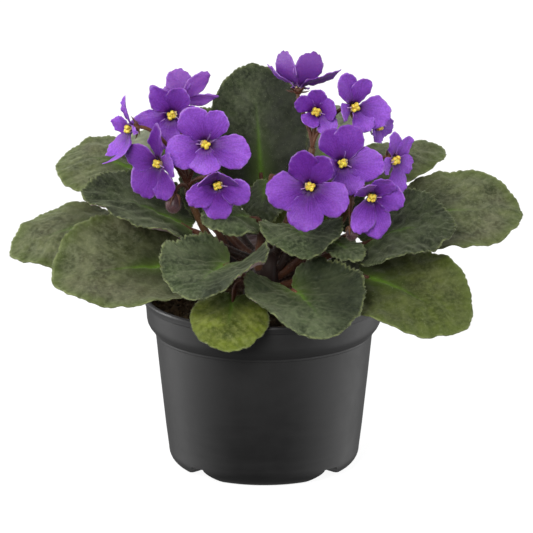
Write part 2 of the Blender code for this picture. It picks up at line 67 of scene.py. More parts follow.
# Blades. Each row of BLADE_MESHES is for blades wider than its first value, with their teeth and their
# rings of points.
BLADE_MESHES = ((40, 64, 24), (27, 48, 18), (0, 32, 12))
BLADE_THICKNESS = 0.8
RUFFLES = 5
TIP_SPREAD = 0.35
SINUS_SPREAD = 0.1
DEEP_NOTCH = 0.4
TOOTH_DEPTH = 0.24
RIM_HAIR_SHARES = (0.0, 0.33, 0.66)
HAIRS_ABOVE = 0.7
HAIRS_BELOW = 0.25
PLAIN_EDGE = 0.4
QUILT_DEPTH = 0.42
VEIN_SLOPE = 0.75
VEIN_BEND = 0.25
PETIOLE_RADII = (2.3, 1.9, 1.7, 1.5, 1.3, 0.8)
PETIOLE_SHADOWS = (1.0, 0.45, 0.9, 0.3)

# Flowers
PETAL_THICKNESS = 0.5
FRONT_LAYER = 0.40
LAYER_STEP = 0.24
PETAL_WIDTH = 0.43
FULL_SPREAD = 43
THROAT_DEPTH = 2.6
THROAT_RADIUS = 2.4
ANTHER_RADIUS = 1.4
POLLEN_SAC_RADII = (0.98, 1.02, 1.15)
PALE_LUMPS = ((1.7, -0.7), (1.9, 0.3), (1.0, -1.5))
PEDICEL_RADIUS = 0.8
SEPALS = 5
SEPAL_LENGTH = 5.4
PETAL_RINGS = (8, 16, 16, 32, 32, 32, 32, 64, 64, 64)
STALK_RADII = (2.0, 1.5)
BUD_HAIRS = 260

# A blade runs from its joint on the petiole to its tip. faces is roughly where its upper side looks. arch
# lifts the midrib, cup raises the edges and wave ruffles them. notch is the depth of the sinus, point
# sharpens the tip and lobes curls up the two lobes beside the sinus.
Leaf = namedtuple("Leaf", "joint tip faces width arch cup wave notch point lobes",
                  defaults=(0.22, 0.06, 0.0))

LEAVES = {
    "outer_left": Leaf((-64, 12, 104.5), (-110.7, 2, 93.8), (0, -0.4, 0.91), 42.3, 5, -4, 1.2, 0.22, 0.12),
    "front_left": Leaf((-40, -21.5, 95), (-91, -38, 92.8), (0, -0.45, 0.9), 62, 3, 6, 1.5, 0.42, 0.06, 8),
    "upper_left": Leaf((-54, 28, 123.5), (-90, 42, 126), (0, -0.28, 0.95), 49, 4, -2, 1),
    "rear_left_small": Leaf((-40, 22, 133), (-58, 36, 139), (0, -0.4, 0.9), 22, 2, -1, 0.8),
    "middle_left": Leaf((-31.5, -5, 107.5), (-79, -8, 125), (0, -0.3, 0.92), 42, 3, 5, 1.6),
    "tall_centre": Leaf((-1, 22, 120), (-5, 50, 167.4), (0.08, -0.9, 0.42), 43, 3, 3, 1.2),
    "inner_dark": Leaf((2.5, 6, 126), (-1.6, -7, 109.5), (-0.3, -0.75, 0.6), 22, 4, -3, 1.4),
    "inner_left": Leaf((-5, -12, 114.5), (-26, -26, 115.5), (0, -0.4, 0.9), 25, 3, -2, 1),
    "front_heart_left": Leaf((-15, -36, 101), (-33, -68, 94), (-0.12, -0.28, 0.95), 46, 3, 8, 1.2,
                             0.5, 0.06, 18),
    "front_heart": Leaf((12, -34, 89), (29, -72, 78), (0, -0.25, 0.97), 51, 3, 7, 1.2, 0.5, 0.06, 18),
    "front_low": Leaf((-13, -40, 88), (-17, -66, 70), (0, -0.6, 0.8), 34, 2, -2, 0.8),
    "front_right": Leaf((41, -20, 91.2), (87.5, -47, 74.4), (0, -0.42, 0.9), 52.5, 4, 3, 1.4, 0.3),
    "middle_right": Leaf((43, -12, 103), (83, -20, 112), (0, -0.4, 0.9), 46, 4, 3, 1.2, 0.3),
    "outer_right": Leaf((61, 13, 107), (112.7, 11, 109.3), (0, -0.42, 0.91), 53.5, 4, 1, 1.3, 0.26, 0.02),
    "upper_right": Leaf((38, 30, 122), (79.5, 53, 127.8), (0, -0.3, 0.95), 31, 4, -3, 1),
    "rear_pale": Leaf((24, 30, 124), (33, 54, 147), (0, -0.75, 0.6), 30, 3, 2, 1),
    "centre_low": Leaf((15, -10, 111), (18, -37, 103), (0, -0.3, 0.95), 36, 3, 4, 1, 0.3),
    "inner_right": Leaf((29, -15, 104.5), (42, -31, 100.5), (0, -0.3, 0.95), 16, 2, -1, 0.6),
    "inner_bright": Leaf((9, 3, 102), (15, 13, 115), (0, -0.8, 0.6), 15, 1, 1, 0.5),
    "behind_left": Leaf((-22.1, 4.8, 109), (-33, 9.5, 137), (0.26, -0.8, 0.5), 21, 2, 0, 0.8),
    "low_right": Leaf((28, -3, 86), (50, 1, 84), (0, -0.5, 0.87), 24, 2, 2, 0.8),
    "behind_right": Leaf((27, 5, 106), (37, 8, 130), (0.1, -0.85, 0.5), 25, 2, 2, 0.8),
    "rear_centre_left": Leaf((-20, 30, 122), (-28, 54, 146), (0, -0.75, 0.6), 28, 3, 2, 1),
    "back_left": Leaf((-36, 26, 94), (-67, 53, 69), (-0.4, 0.3, 0.9), 46, 5, -3, 1.2),
    "back": Leaf((0, 33, 95.5), (-3, 72, 70.8), (0, 0.4, 0.9), 46, 5, -3, 1.2),
    "back_right": Leaf((34, 26, 89), (64, 54, 65), (0.4, 0.3, 0.9), 46, 5, -3, 1.2),
}

# Blades with one side in shade: 1 is the left side seen from the joint, with the tip ahead, and -1 the right
SHADED_SIDE = {"tall_centre": -1, "front_heart": 1, "centre_low": 1, "front_heart_left": 1}
SHADED_SIDE_DEPTH = 0.80

# The tone of each blade, olive unless it is named here. Blades of the plain tones, and the plain blades,
# have softer teeth and quilting.
LEAF_TONES = {
    "front_heart": "blue_green", "front_heart_left": "blue_green", "centre_low": "blue_green",
    "inner_left": "blue_green", "inner_right": "blue_green", "middle_left": "dark", "middle_right": "dark",
    "tall_centre": "dark", "inner_dark": "dark", "front_low": "yellow_green",
    "front_right": "fresh", "inner_bright": "yellow_green", "rear_pale": "pale", "rear_left_small": "pale",
    # behind_left, behind_right and low_right take the dark tone as painted shade where they fill the shaded
    # gaps among the stems
    "behind_left": "dark", "behind_right": "dark", "low_right": "dark",
}
PLAIN_TONES = ("olive", "fresh", "yellow_green", "pale")
PLAIN_BLADES = ("tall_centre",)

# A flower looks towards azimuth, from 0 at the front to +90 at the right, and elevation above level. spread
# is the angle that a petal of breadth 1 reaches to either side. Each petal has its bearing, clockwise from
# the flower's top, its length and the angle of its fold to the front, and point draws its tip out. A row of
# the table leaves out a petal's last values where they are the usual ones.
Petal = namedtuple("Petal", "bearing length fold breadth point", defaults=(1.0, 0.0))
Flower = namedtuple("Flower", "centre azimuth elevation petals stalk spread", defaults=("left", 43))

FLOWERS = {
    "left_side": Flower((-58.5, -17, 155.5), -68, -5, (
        (7, 14.5, 7, 0.6, 0.12), (85, 7.5, -5, 0.8), (165, 17.5, 46, 0.75, 0.1),
        (208, 15.5, 40, 0.8), (283, 9.6, 28, 1.15)), "left", 36),
    "left_rear": Flower((-40, -7, 159), -6, 5, (
        (22, 14.5, 22, 0.9), (100, 15, 8), (195, 15, 8),
        (257, 16.5, 8, 0.6, 0.2), (325, 14.1, 10, 0.85, 0.15))),
    "left_top": Flower((-36, 14, 160), 172, 12, (
        (8, 14.3, 15, 1.15), (66, 10, 25), (180, 12, 10),
        (273, 14.5, 16, 0.62, 0.15), (318, 17.3, 12, 0.68)), "left", 34),
    "left_front": Flower((-46, -24, 142), -32, -8, (
        (5, 17, 3, 0.5, 0.12), (84, 13.5, 26), (168, 17, 9, 0.8),
        (214, 19, 8, 0.95), (280, 15.5, 5, 1.05))),
    "left_large": Flower((-25, -26, 151), -2, 5, (
        (23, 17, 10, 0.8), (105, 19.8, 6, 0.95), (182, 13, 11, 1.35),
        (252, 17.5, 6, 1.1), (335, 18.4, 12, 1))),
    "left_low": Flower((-20, -34, 135), 2, -14, (
        (38, 11.5, 38, 1.1), (112, 15, 12, 1.05), (178, 17.5, 5, 0.85),
        (236, 15, 10), (320, 11.5, 38, 1.1))),
    "top": Flower((15, 6, 170), 172, 62, (
        (49, 15.2, 55, 1.4), (84, 14.5, 28, 0.7, 0.08), (180, 12, 5),
        (276, 18.5, 20.5, 0.85, 0.06), (320, 15, 54, 1.45)), "right_rear", 34),
    "rear_small": Flower((22.5, -8, 160.8), -6, 8, (
        (5, 11, 20, 0.9), (75, 10.8, 30, 1.1), (135, 12, 10),
        (212, 9, 46, 1.1), (305, 10.8, 25, 0.9)), "right_rear"),
    "right_rear": Flower((39.3, -8, 162.9), 26, 4, (
        (19, 13.8, 12, 0.8), (112, 17.6, 5), (150, 13, 8, 0.95),
        (258, 11.5, 36, 0.8), (337, 17.3, 10, 0.66)), "right_rear"),
    "right_hidden": Flower((50, 5, 151), 60, -8, (
        (35, 6.5, 10), (108, 11, 10), (165, 8.5, 10),
        (235, 6.5, 10), (305, 6.5, 10)), "right_front"),
    "right_side": Flower((57, -14, 140.8), 48, -6, (
        (350, 13, -5, 0.7, 0.05), (45, 12.3, 2, 0.8), (118, 12.8, 4, 0.9),
        (160, 16, 6, 0.8), (250, 9, 6, 1.1)), "right_front"),
    "right_middle": Flower((33.8, -22, 141.5), 4, 8, (
        (15, 17.8, 10, 0.95), (93, 18.4, 6, 0.95), (163, 15, 8, 1.15),
        (252, 11, 6), (336, 17, 10, 0.85)), "right_front"),
    "right_large": Flower((20, -36, 135), -4, 4, (
        (30, 15.5, 10, 0.9), (120, 18.3, 6, 1.05), (190, 20.3, 6, 0.9),
        (259, 19.6, 6), (342, 16.7, 10, 0.95)), "right_front"),
    "right_low": Flower((46.3, -32, 129), 8, -18, (
        (35, 13.5, 15, 0.9), (96, 14.5, 8, 1.15), (168, 21, 5, 0.75),
        (198, 18, 14, 0.75), (330, 12, 30)), "right_front"),
}

# Painted shade and light on each flower: how much darker than the others it is painted, or lighter where it
# is below 0
PAINTED_FLOWER_SHADING = {
    "left_large": -0.6, "left_top": -0.5, "left_side": -0.9, "right_side": -0.4, "right_rear": -0.4,
    "right_low": -0.4, "right_large": 0.25, "left_front": 0.5, "top": 0.45, "left_low": 0.1,
}

STALKS = {
    "left": ((-3, -3, 92), (-14, -8, 98), (-23, -10, 104), (-29, -13, 116), (-33, -13, 126)),
    "right_rear": ((4, -1, 92), (10, -4, 110), (18, -6, 128), (21, -6, 144)),
    "right_front": ((4, -3, 90), (18, -3, 98), (31, -5, 108), (38, -10, 121)),
}

Bud = namedtuple("Bud", "centre points length width stalk")
BUDS = {
    "left": Bud((-39, -24, 124), (-0.15, -0.25, -1.0), 8.5, 6.5, "left"),
    "right": Bud((38, -25, 111), (0.1, -0.3, -1.0), 6.5, 5.0, "right_front"),
}

# Camera: a long lens that looks down a little from the front. Each lamp has its place, size, power and
# colour, and they all look at LAMP_TARGET.
CAMERA_DISTANCE = 3500
CAMERA_TARGET = (1.1, 0.0, 88.9)
CAMERA_ELEVATION = 16
CAMERA_LENS = 542.5
LAMP_TARGET = (0, 0, 110)
LAMPS = {
    "key": ((-500, -1400, 950), (800, 800), 26, (1.0, 0.98, 0.95)),
    "left_softbox": ((-900, 250, 350), (350, 900), 6, (1, 1, 1)),
    "right_softbox": ((950, -700, 350), (450, 900), 5, (1, 1, 1)),
}

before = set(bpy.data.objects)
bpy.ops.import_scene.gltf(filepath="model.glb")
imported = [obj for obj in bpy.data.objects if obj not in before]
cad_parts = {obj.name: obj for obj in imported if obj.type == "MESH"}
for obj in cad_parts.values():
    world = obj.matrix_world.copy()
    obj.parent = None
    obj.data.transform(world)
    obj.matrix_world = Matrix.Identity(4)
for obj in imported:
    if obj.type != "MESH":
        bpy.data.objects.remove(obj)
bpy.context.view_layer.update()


# Vectors


def unit(vector):
    vector = np.asarray(vector, float)
    return vector / np.maximum(np.linalg.norm(vector, axis=-1, keepdims=True), 1e-9)


def any_side(direction):
    """A unit vector square to each direction."""
    helper = np.where(np.abs(direction[..., 2:3]) > 0.9, [1.0, 0.0, 0.0], [0.0, 0.0, 1.0])
    return unit(np.cross(direction, helper))


def smooth_step(low, high, value):
    share = np.clip((value - low) / (high - low), 0, 1)
    return share * share * (3 - 2 * share)


def bell(value, width):
    return np.exp(-(value / width) ** 2)


def between(first, second, turn):
    """A direction at an angle from the first of two directions towards the second."""
    return first * math.cos(turn) + second * math.sin(turn)


def level_turn(turn):
    """A matrix for turning rows of points about Z."""
    x_axis = (math.cos(turn), math.sin(turn), 0)
    return np.array([x_axis, (-x_axis[1], x_axis[0], 0), (0, 0, 1)])


def ripples(x, y, dice, wave_lengths, count=6):
    """Soft uneven waves of height about 1 over a surface."""
    total = 0
    for _ in range(count):
        turn = dice.uniform(0, TAU)
        size = TAU / dice.uniform(*wave_lengths)
        total = total + np.sin(size * (x * math.cos(turn) + y * math.sin(turn)) + dice.uniform(0, TAU))
    return total / math.sqrt(count / 2)


# Meshes


class Piece:
    """Collects the sheets, tubes and hairs of one mesh, with their materials and point values."""

    def __init__(self, name):
        self.name = name
        self.points = []
        self.triangles = []
        self.finishes = []
        self.values = {}
        self.count = 0

    def add(self, points, triangles, finish, **values):
        points = np.asarray(points, float)
        self.points.append(points)
        self.triangles.append(np.asarray(triangles, int) + self.count)
        self.finishes.append(np.full(len(triangles), finish))
        for key in set(self.values) | set(values):
            known = self.values.setdefault(key, [np.zeros(self.count)] if self.count else [])
            known.append(np.broadcast_to(values.get(key, 0.0), len(points)).astype(float))
        self.count += len(points)

    def add_sheet(self, front, back, triangles, rim_count, flip=False, **values):
        """A closed sheet: its front and rim have the first finish and its back the second."""
        count = len(front)
        rim = np.arange(count - rim_count, count)
        after = np.roll(rim, -1)
        band = [np.stack([after, rim, rim + count], 1), np.stack([after, rim + count, after + count], 1)]
        way = -1 if flip else 1
        behind = triangles[:, ::-way] + self.count + count
        doubled = {key: np.tile(np.broadcast_to(value, count), 2) for key, value in values.items()}
        self.add(np.concatenate([front, back]), np.concatenate([triangles, *band])[:, ::way], 0, **doubled)
        self.triangles.append(behind)
        self.finishes.append(np.full(len(behind), 1))

    def make(self, materials):
        points = (np.concatenate(self.points) * MM).astype(np.float32)
        triangles = np.concatenate(self.triangles).astype(np.int32)
        mesh = bpy.data.meshes.new(self.name)
        mesh.from_pydata(points, [], triangles)
        mesh.polygons.foreach_set("material_index", np.concatenate(self.finishes).astype(np.int32))
        mesh.validate()
        mesh.shade_smooth()
        for key, parts in self.values.items():
            attribute = mesh.attributes.new(key, "FLOAT", "POINT")
            attribute.data.foreach_set("value", np.concatenate(parts).astype(np.float32))
        for material in materials:
            mesh.materials.append(material)
        made = bpy.data.objects.new(self.name, mesh)
        bpy.context.collection.objects.link(made)
        return made


def disc_triangles(counts):
    """Triangles of a disc: a middle point, then rings with as many or twice the points of the last."""
    triangles = [(0, 1 + step, 1 + (step + 1) % counts[0]) for step in range(counts[0])]
    inner = 1
    for few, many in zip(counts, counts[1:]):
        outer = inner + few
        for step in range(few):
            here, after = inner + step, inner + (step + 1) % few
            if many == few:
                out, out_after = outer + step, outer + (step + 1) % many
                triangles += [(here, out, out_after), (here, out_after, after)]
            else:
                edge = [outer + (2 * step + extra) % many for extra in range(3)]
                triangles += [(here, edge[0], edge[1]), (here, edge[1], after), (after, edge[1], edge[2])]
        inner = outer
    return np.array(triangles)


def disc_places(counts):
    """The reach and angle of each point of a disc."""
    reach, angle = [0.0], [0.0]
    for ring, count in enumerate(counts):
        reach += [(ring + 1) / len(counts)] * count
        angle += [TAU * step / count for step in range(count)]
    return np.array(reach), np.array(angle)


def triangle_normals(points, triangles):
    """A vector square to each triangle, twice as long as its area."""
    first, second, third = (points[triangles[:, corner]] for corner in range(3))
    return np.cross(second - first, third - first)


def point_normals(points, triangles):
    flat = triangle_normals(points, triangles)
    normals = np.zeros_like(points)
    for corner in range(3):
        np.add.at(normals, triangles[:, corner], flat)
    return unit(normals)


def scatter(points, triangles, count, dice):
    """Places spread evenly over triangles: points, the triangle of each and its shares of the corners."""
    area = np.linalg.norm(triangle_normals(points, triangles), axis=1)
    chosen = dice.choice(len(triangles), count, p=area / area.sum())
    first, second = dice.random(count), dice.random(count)
    over = first + second > 1
    first[over], second[over] = 1 - first[over], 1 - second[over]
    shares = np.stack([1 - first - second, first, second], 1)
    return (points[triangles[chosen]] * shares[:, :, None]).sum(1), chosen, shares


def hairs(piece, roots, directions, lengths, radius, finish):
    """Fine hairs, each a slim closed spike."""
    directions = unit(directions)
    side = any_side(directions)
    across = np.cross(directions, side)
    lengths = np.broadcast_to(lengths, len(roots))
    base = [roots - directions * 0.1 + between(side, across, turn) * radius
            for turn in (0, TAU / 3, 2 * TAU / 3)]
    tips = roots + directions * lengths[:, None]
    points = np.stack([*base, tips], 1).reshape(-1, 3)
    spike = np.array([(0, 2, 1), (0, 1, 3), (1, 2, 3), (2, 0, 3)])
    triangles = (np.arange(len(roots))[:, None, None] * 4 + spike).reshape(-1, 3)
    piece.add(points, triangles, finish)


def scatter_hairs(piece, points, triangles, count, dice, length, lean, radius, finish):
    """Hairs all over some triangles. lean is a direction that they bend towards."""
    roots, chosen, shares = scatter(points, triangles, count, dice)
    normals = (point_normals(points, triangles)[triangles[chosen]] * shares[:, :, None]).sum(1)
    directions = unit(normals) + np.asarray(lean) + dice.normal(0, 0.28, (count, 3))
    hairs(piece, roots, directions, length * dice.uniform(0.6, 1.25, count), radius, finish)


# Curves and tubes


def bezier(start, first, second, end, steps):
    """Points along a cubic curve, both ends included."""
    t = np.linspace(0, 1, steps + 1)[:, None]
    start, first, second, end = (np.asarray(point, float) for point in (start, first, second, end))
    return start * (1 - t) ** 3 + (first * (1 - t) + second * t) * 3 * t * (1 - t) + end * t ** 3


def smooth_through(points, steps):
    """A Catmull-Rom curve through the points, with steps pieces between each two."""
    points = [np.asarray(point, float) for point in points]
    padded = [points[0] * 2 - points[1], *points, points[-1] * 2 - points[-2]]
    curve = [points[0]]
    for before, start, end, after in zip(padded, padded[1:], padded[2:], padded[3:]):
        for step in range(1, steps + 1):
            t = step / steps
            bend = (2 * before - 5 * start + 4 * end - after) * t ** 2
            twist = (3 * start - before - 3 * end + after) * t ** 3
            curve.append(start + 0.5 * ((end - before) * t + bend + twist))
    return np.array(curve)


def tube(curve, radii, sides, flat=1.0, side=None):
    """The points and triangles of a closed tube. flat squeezes it square to the given side."""
    last = len(curve) - 1
    radii = np.interp(np.linspace(0, 1, len(curve)), np.linspace(0, 1, len(radii)), radii)
    turns = TAU * np.arange(sides) / sides
    rings = []
    for index, centre in enumerate(curve):
        along = unit(curve[min(index + 1, last)] - curve[max(index - 1, 0)])
        if side is None:
            side = any_side(along)
        side = unit(side - along * side.dot(along))
        across = np.cross(along, side) * flat
        ring = np.outer(np.cos(turns), side) + np.outer(np.sin(turns), across)
        rings.append(centre + ring * radii[index])
    points = np.concatenate(rings + [curve[:1], curve[-1:]])
    triangles = []
    for ring in range(last):
        for corner in range(sides):
            here, there = ring * sides + corner, ring * sides + (corner + 1) % sides
            triangles += [(here, there, there + sides), (here, there + sides, here + sides)]
    bottom, top = len(points) - 2, len(points) - 1
    for corner in range(sides):
        after = (corner + 1) % sides
        triangles += [(bottom, after, corner), (top, last * sides + corner, last * sides + after)]
    return points, np.array(triangles)


def turned(profile, steps):
    """The points and triangles of a solid turned about Z, its profile starting and ending on the axis."""
    angle = TAU * np.arange(steps) / steps
    middle = profile[1:-1]
    points = [np.array([[0, 0, profile[0][1]]])]
    points += [np.stack([np.sin(angle) * radius, -np.cos(angle) * radius, np.full(steps, height)], 1)
               for radius, height in middle]
    points.append(np.array([[0, 0, profile[-1][1]]]))
    points = np.concatenate(points)
    step = np.arange(steps)
    after = (step + 1) % steps
    triangles = [np.stack([np.zeros(steps, int), 1 + after, 1 + step], 1)]
    for ring in range(len(middle) - 1):
        low, high = 1 + ring * steps, 1 + (ring + 1) * steps
        triangles.append(np.stack([low + step, low + after, high + after], 1))
        triangles.append(np.stack([low + step, high + after, high + step], 1))
    final = 1 + (len(middle) - 1) * steps
    triangles.append(np.stack([final + step, final + after, np.full(steps, len(points) - 1)], 1))
    return points, np.concatenate(triangles)


# Materials


class Wiring:
    """The nodes of a material or of the world, and their links."""

    def __init__(self, tree):
        self.tree = tree

    def join(self, value, socket):
        """Set a socket to a value, or link it to another socket."""
        if isinstance(value, bpy.types.NodeSocket):
            self.tree.links.new(value, socket)
        else:
            socket.default_value = value

    def node(self, kind, inputs=None, **settings):
        made = self.tree.nodes.new(kind)
        for key, value in settings.items():
            setattr(made, key, value)
        for key, value in (inputs or {}).items():
            self.join(value, made.inputs[key])
        return made

    def place(self, kind="Object"):
        return self.node("ShaderNodeTexCoord").outputs[kind]

    def parts(self, vector):
        return self.node("ShaderNodeSeparateXYZ", {0: vector}).outputs

    def span(self, value, low, high, to_low=0.0, to_high=1.0):
        """A value moved from one range to another and kept inside it."""
        inputs = dict(enumerate((value, low, high, to_low, to_high)))
        return self.node("ShaderNodeMapRange", inputs, interpolation_type="SMOOTHSTEP").outputs[0]

    def times(self, first, second, operation="MULTIPLY"):
        return self.node("ShaderNodeMath", {0: first, 1: second}, operation=operation).outputs[0]

    def plus(self, first, second):
        return self.times(first, second, "ADD")

    def mix(self, share, first, second):
        made = self.node("ShaderNodeMix", {0: share}, data_type="RGBA")
        for index, colour in ((6, first), (7, second)):
            is_socket = isinstance(colour, bpy.types.NodeSocket)
            self.join(colour if is_socket else (*colour, 1.0), made.inputs[index])
        return made.outputs[2]


class Finish(Wiring):
    """A material. Its sockets are given by name, with an underscore for each space."""

    def __init__(self, name, **sockets):
        self.material = bpy.data.materials.new(name)
        self.material.use_nodes = True
        super().__init__(self.material.node_tree)
        self.shader = self.tree.nodes["Principled BSDF"]
        for socket, value in sockets.items():
            self.shader.inputs[socket.replace("_", " ")].default_value = value

    def value(self, name):
        return self.node("ShaderNodeAttribute", attribute_name=name).outputs["Fac"]

    def noise(self, scale, detail, stretch=(1, 1, 1), vector=None, roughness=0.5):
        moved = self.node("ShaderNodeMapping", {"Vector": vector or self.place(), "Scale": stretch})
        return self.node("ShaderNodeTexNoise", {
            "Vector": moved.outputs[0], "Scale": scale, "Detail": detail, "Roughness": roughness,
        }).outputs["Fac"]

    def spots(self, scale, detail, low, high, to_low=0.0, to_high=1.0, **looks):
        """Soft patches, from the part of a noise between low and high."""
        return self.span(self.noise(scale, detail, **looks), low, high, to_low, to_high)

    def paint(self, ground, *layers):
        """The colour: a ground, then layers, each a colour and the factors of how much of it shows."""
        for colour, *factors in layers:
            ground = self.mix(functools.reduce(self.times, factors), ground, colour)
        self.join(ground, self.shader.inputs["Base Color"])

    def relief(self, scale, detail, strength, distance, **looks):
        bump = self.node("ShaderNodeBump", {
            "Height": self.noise(scale, detail, **looks), "Strength": strength, "Distance": distance})
        self.join(bump.outputs[0], self.shader.inputs["Normal"])


# Each tone of leaf: shadowed green, open green and the pale bloom that its hairs give it
TONES = {
    "olive": ((0.022, 0.029, 0.007), (0.108, 0.127, 0.046), (0.225, 0.243, 0.138)),
    "fresh": ((0.024, 0.036, 0.002), (0.080, 0.108, 0.011), (0.165, 0.190, 0.070)),
    "dark": ((0.004, 0.008, 0.001), (0.026, 0.040, 0.010), (0.102, 0.122, 0.066)),
    "blue_green": ((0.007, 0.015, 0.003), (0.046, 0.070, 0.023), (0.165, 0.200, 0.105)),
    "yellow_green": ((0.040, 0.058, 0.002), (0.160, 0.208, 0.016), (0.300, 0.330, 0.100)),
    "pale": ((0.100, 0.115, 0.070), (0.220, 0.240, 0.165), (0.340, 0.360, 0.270)),
}
BROWN_SHARES = {"olive": 0.45, "fresh": 0.2}
BROWN = (0.078, 0.064, 0.042)
SHADED_LEVEL = 0.45
RIB_GREEN = (0.085, 0.185, 0.010)
GLOW_GREEN = (0.075, 0.130, 0.012)
RIM_GREEN = (0.260, 0.300, 0.120)
EDGE_GREENS = {
    "olive": (0.080, 0.120, 0.014), "fresh": (0.085, 0.125, 0.012), "yellow_green": (0.120, 0.160, 0.012),
}
THROAT_VIOLET = (0.022, 0.001, 0.045)
RIM_VIOLET = (0.480, 0.280, 0.720)


def leaf_finish(tone):
    deep, open_green, bloom = TONES[tone]
    shaded = tuple(SHADED_LEVEL * level for level in deep)
    made = Finish("leaf_" + tone, Roughness=0.6, Sheen_Weight=0.18, Sheen_Roughness=0.5,
                  Sheen_Tint=(0.72, 0.82, 0.48, 1.0), Specular_IOR_Level=0.25)
    made.paint(
        made.mix(made.spots(95, 5, 0.34, 0.64, roughness=0.6), deep, open_green),
        (deep, made.spots(260, 4, 0.42, 0.60, roughness=0.6), 0.25 if tone == "yellow_green" else 0.45),
        (bloom, made.spots(70, 4, 0.46, 0.66, roughness=0.6), 0.35),
        (BROWN, made.spots(55, 3, 0.45, 0.65), BROWN_SHARES.get(tone, 0.0)),
        (bloom, made.spots(620, 3, 0.36, 0.70, roughness=0.65), 0.45),
        (EDGE_GREENS.get(tone, open_green), made.value("edge"), 0.55 if tone in EDGE_GREENS else 0.0),
        (deep, made.value("groove"), 0.45),
        # painted shade: darker about the joint and over the side named in SHADED_SIDE
        (shaded, made.value("heart"), 0.90),
        (GLOW_GREEN, made.value("glow"), 0.55),
        (RIB_GREEN, made.value("rib"), 0.85),
        (RIM_GREEN, made.value("rim"), made.spots(330, 3, 0.4, 0.65, 0.1, 0.6)))
    made.relief(1400, 3, 0.45, 0.0004, roughness=0.7)
    return made.material


def under_finish():
    made = Finish("leaf_underside", Roughness=0.6, Sheen_Weight=0.4, Sheen_Roughness=0.5,
                  Sheen_Tint=(0.85, 0.72, 0.75, 1.0))
    made.paint(
        made.mix(made.spots(110, 4, 0.35, 0.65), (0.135, 0.055, 0.060), (0.200, 0.120, 0.105)),
        ((0.110, 0.030, 0.035), made.value("groove"), 0.5),
        ((0.240, 0.190, 0.120), made.value("rib")))
    made.relief(1400, 3, 0.4, 0.0004)
    return made.material


def hair_finish(name, root, tip):
    made = Finish(name, Roughness=0.5, Sheen_Weight=0.2)
    made.paint(made.mix(made.spots(300, 2, 0.3, 0.7), root, tip))
    return made.material


def stem_finish():
    made = Finish("stem_skin", Roughness=0.5, Specular_IOR_Level=0.25, Sheen_Weight=0.05,
                  Sheen_Roughness=0.4, Sheen_Tint=(0.9, 0.75, 0.7, 1.0),
                  Subsurface_Weight=0.1, Subsurface_Scale=0.002)
    made.paint(
        made.mix(made.spots(70, 3, 0.35, 0.65), (0.058, 0.016, 0.009), (0.130, 0.052, 0.026)),
        ((0.098, 0.052, 0.022), made.value("stalk")),
        ((0.180, 0.100, 0.055), made.spots(700, 2, 0.4, 0.7), 0.25),
        ((0.009, 0.004, 0.003), made.value("shade"), 0.95))
    made.relief(900, 3, 0.3, 0.0003)
    return made.material


def petal_finish(name, light, middle, dark, deep, sheen):
    made = Finish(name, Roughness=0.5, Sheen_Weight=sheen, Sheen_Roughness=0.3,
                  Sheen_Tint=(0.7, 0.5, 1.0, 1.0), Specular_IOR_Level=0.3,
                  Subsurface_Weight=0.10, Subsurface_Scale=0.0012)
    along = made.value("along")
    fan = {0: along, 1: made.value("across"), 2: made.value("number")}
    streaks = made.spots(5, 3, 0.42, 0.66, stretch=(0.35, 8.0, 1.0), roughness=0.6,
                         vector=made.node("ShaderNodeCombineXYZ", fan).outputs[0])
    made.paint(
        made.mix(made.span(along, 0.30, 0.90), middle, light),
        (middle, made.spots(150, 4, 0.3, 0.7), 0.40),
        # the upper petals darker: partly their own deeper violet and partly painted shade
        (dark, made.value("upper")),
        (deep, made.spots(1300, 2, 0.35, 0.65), 0.26),
        (deep, streaks, made.span(along, 0.95, 0.25, 0.08, 0.75)),
        # darker towards the throat: partly the petals' own deep violet and partly painted shade in the
        # sunken throat
        (deep, made.span(along, 0.55, 0.14), 0.88),
        (THROAT_VIOLET, made.span(along, 0.27, 0.13), 0.85),
        (RIM_VIOLET, made.value("rim"), made.spots(200, 2, 0.4, 0.65, 0.05, 0.6)))
    made.relief(1100, 3, 0.55, 0.0004, roughness=0.6)
    return made.material


def pollen_finish(name, light, dark):
    made = Finish(name, Roughness=0.45, Subsurface_Weight=0.15, Subsurface_Scale=0.001)
    made.paint(made.mix(made.spots(900, 3, 0.35, 0.65), light, dark))
    made.relief(2500, 2, 0.3, 0.0002)
    return made.material


def bud_finish():
    made = Finish("bud_skin", Roughness=0.5, Sheen_Weight=0.25, Sheen_Tint=(0.9, 0.75, 0.8, 1.0))
    made.paint(made.mix(made.spots(260, 3, 0.35, 0.65), (0.030, 0.009, 0.013), (0.072, 0.026, 0.032)))
    made.relief(900, 3, 0.3, 0.0003)
    return made.material


def pot_finish():
    """Black plastic with painted shade, darker towards its foot and lighter towards its rim, and faint
    scuffs.
    """
    made = Finish("pot_plastic", Roughness=0.40, Specular_IOR_Level=0.5)
    height = made.span(made.parts(made.place())[2], 0.005, 0.072)
    made.paint(
        made.mix(height, (0.0090, 0.0090, 0.0094), (0.0215, 0.0215, 0.0220)),
        ((0.0175, 0.0175, 0.0180), made.spots(60, 5, 0.3, 0.75, stretch=(1, 1, 6), roughness=0.6), 0.5))
    made.join(made.spots(140, 4, 0.3, 0.7, 0.36, 0.43), made.shader.inputs["Roughness"])
    made.relief(900, 3, 0.04, 0.0003, stretch=(1, 1, 3))
    return made.material


def soil_finish():
    made = Finish("soil_peat", Roughness=0.95, Specular_IOR_Level=0.2)
    made.paint(
        made.mix(made.spots(260, 5, 0.4, 0.65), (0.030, 0.021, 0.010), (0.110, 0.076, 0.036)),
        ((0.150, 0.100, 0.055), made.spots(900, 3, 0.62, 0.72)))
    made.relief(700, 6, 0.9, 0.0012)
    return made.material


# Pot and soil


def helper_object(name, points, triangles):
    piece = Piece(name)
    piece.add(points, triangles, 0)
    return piece.make([])


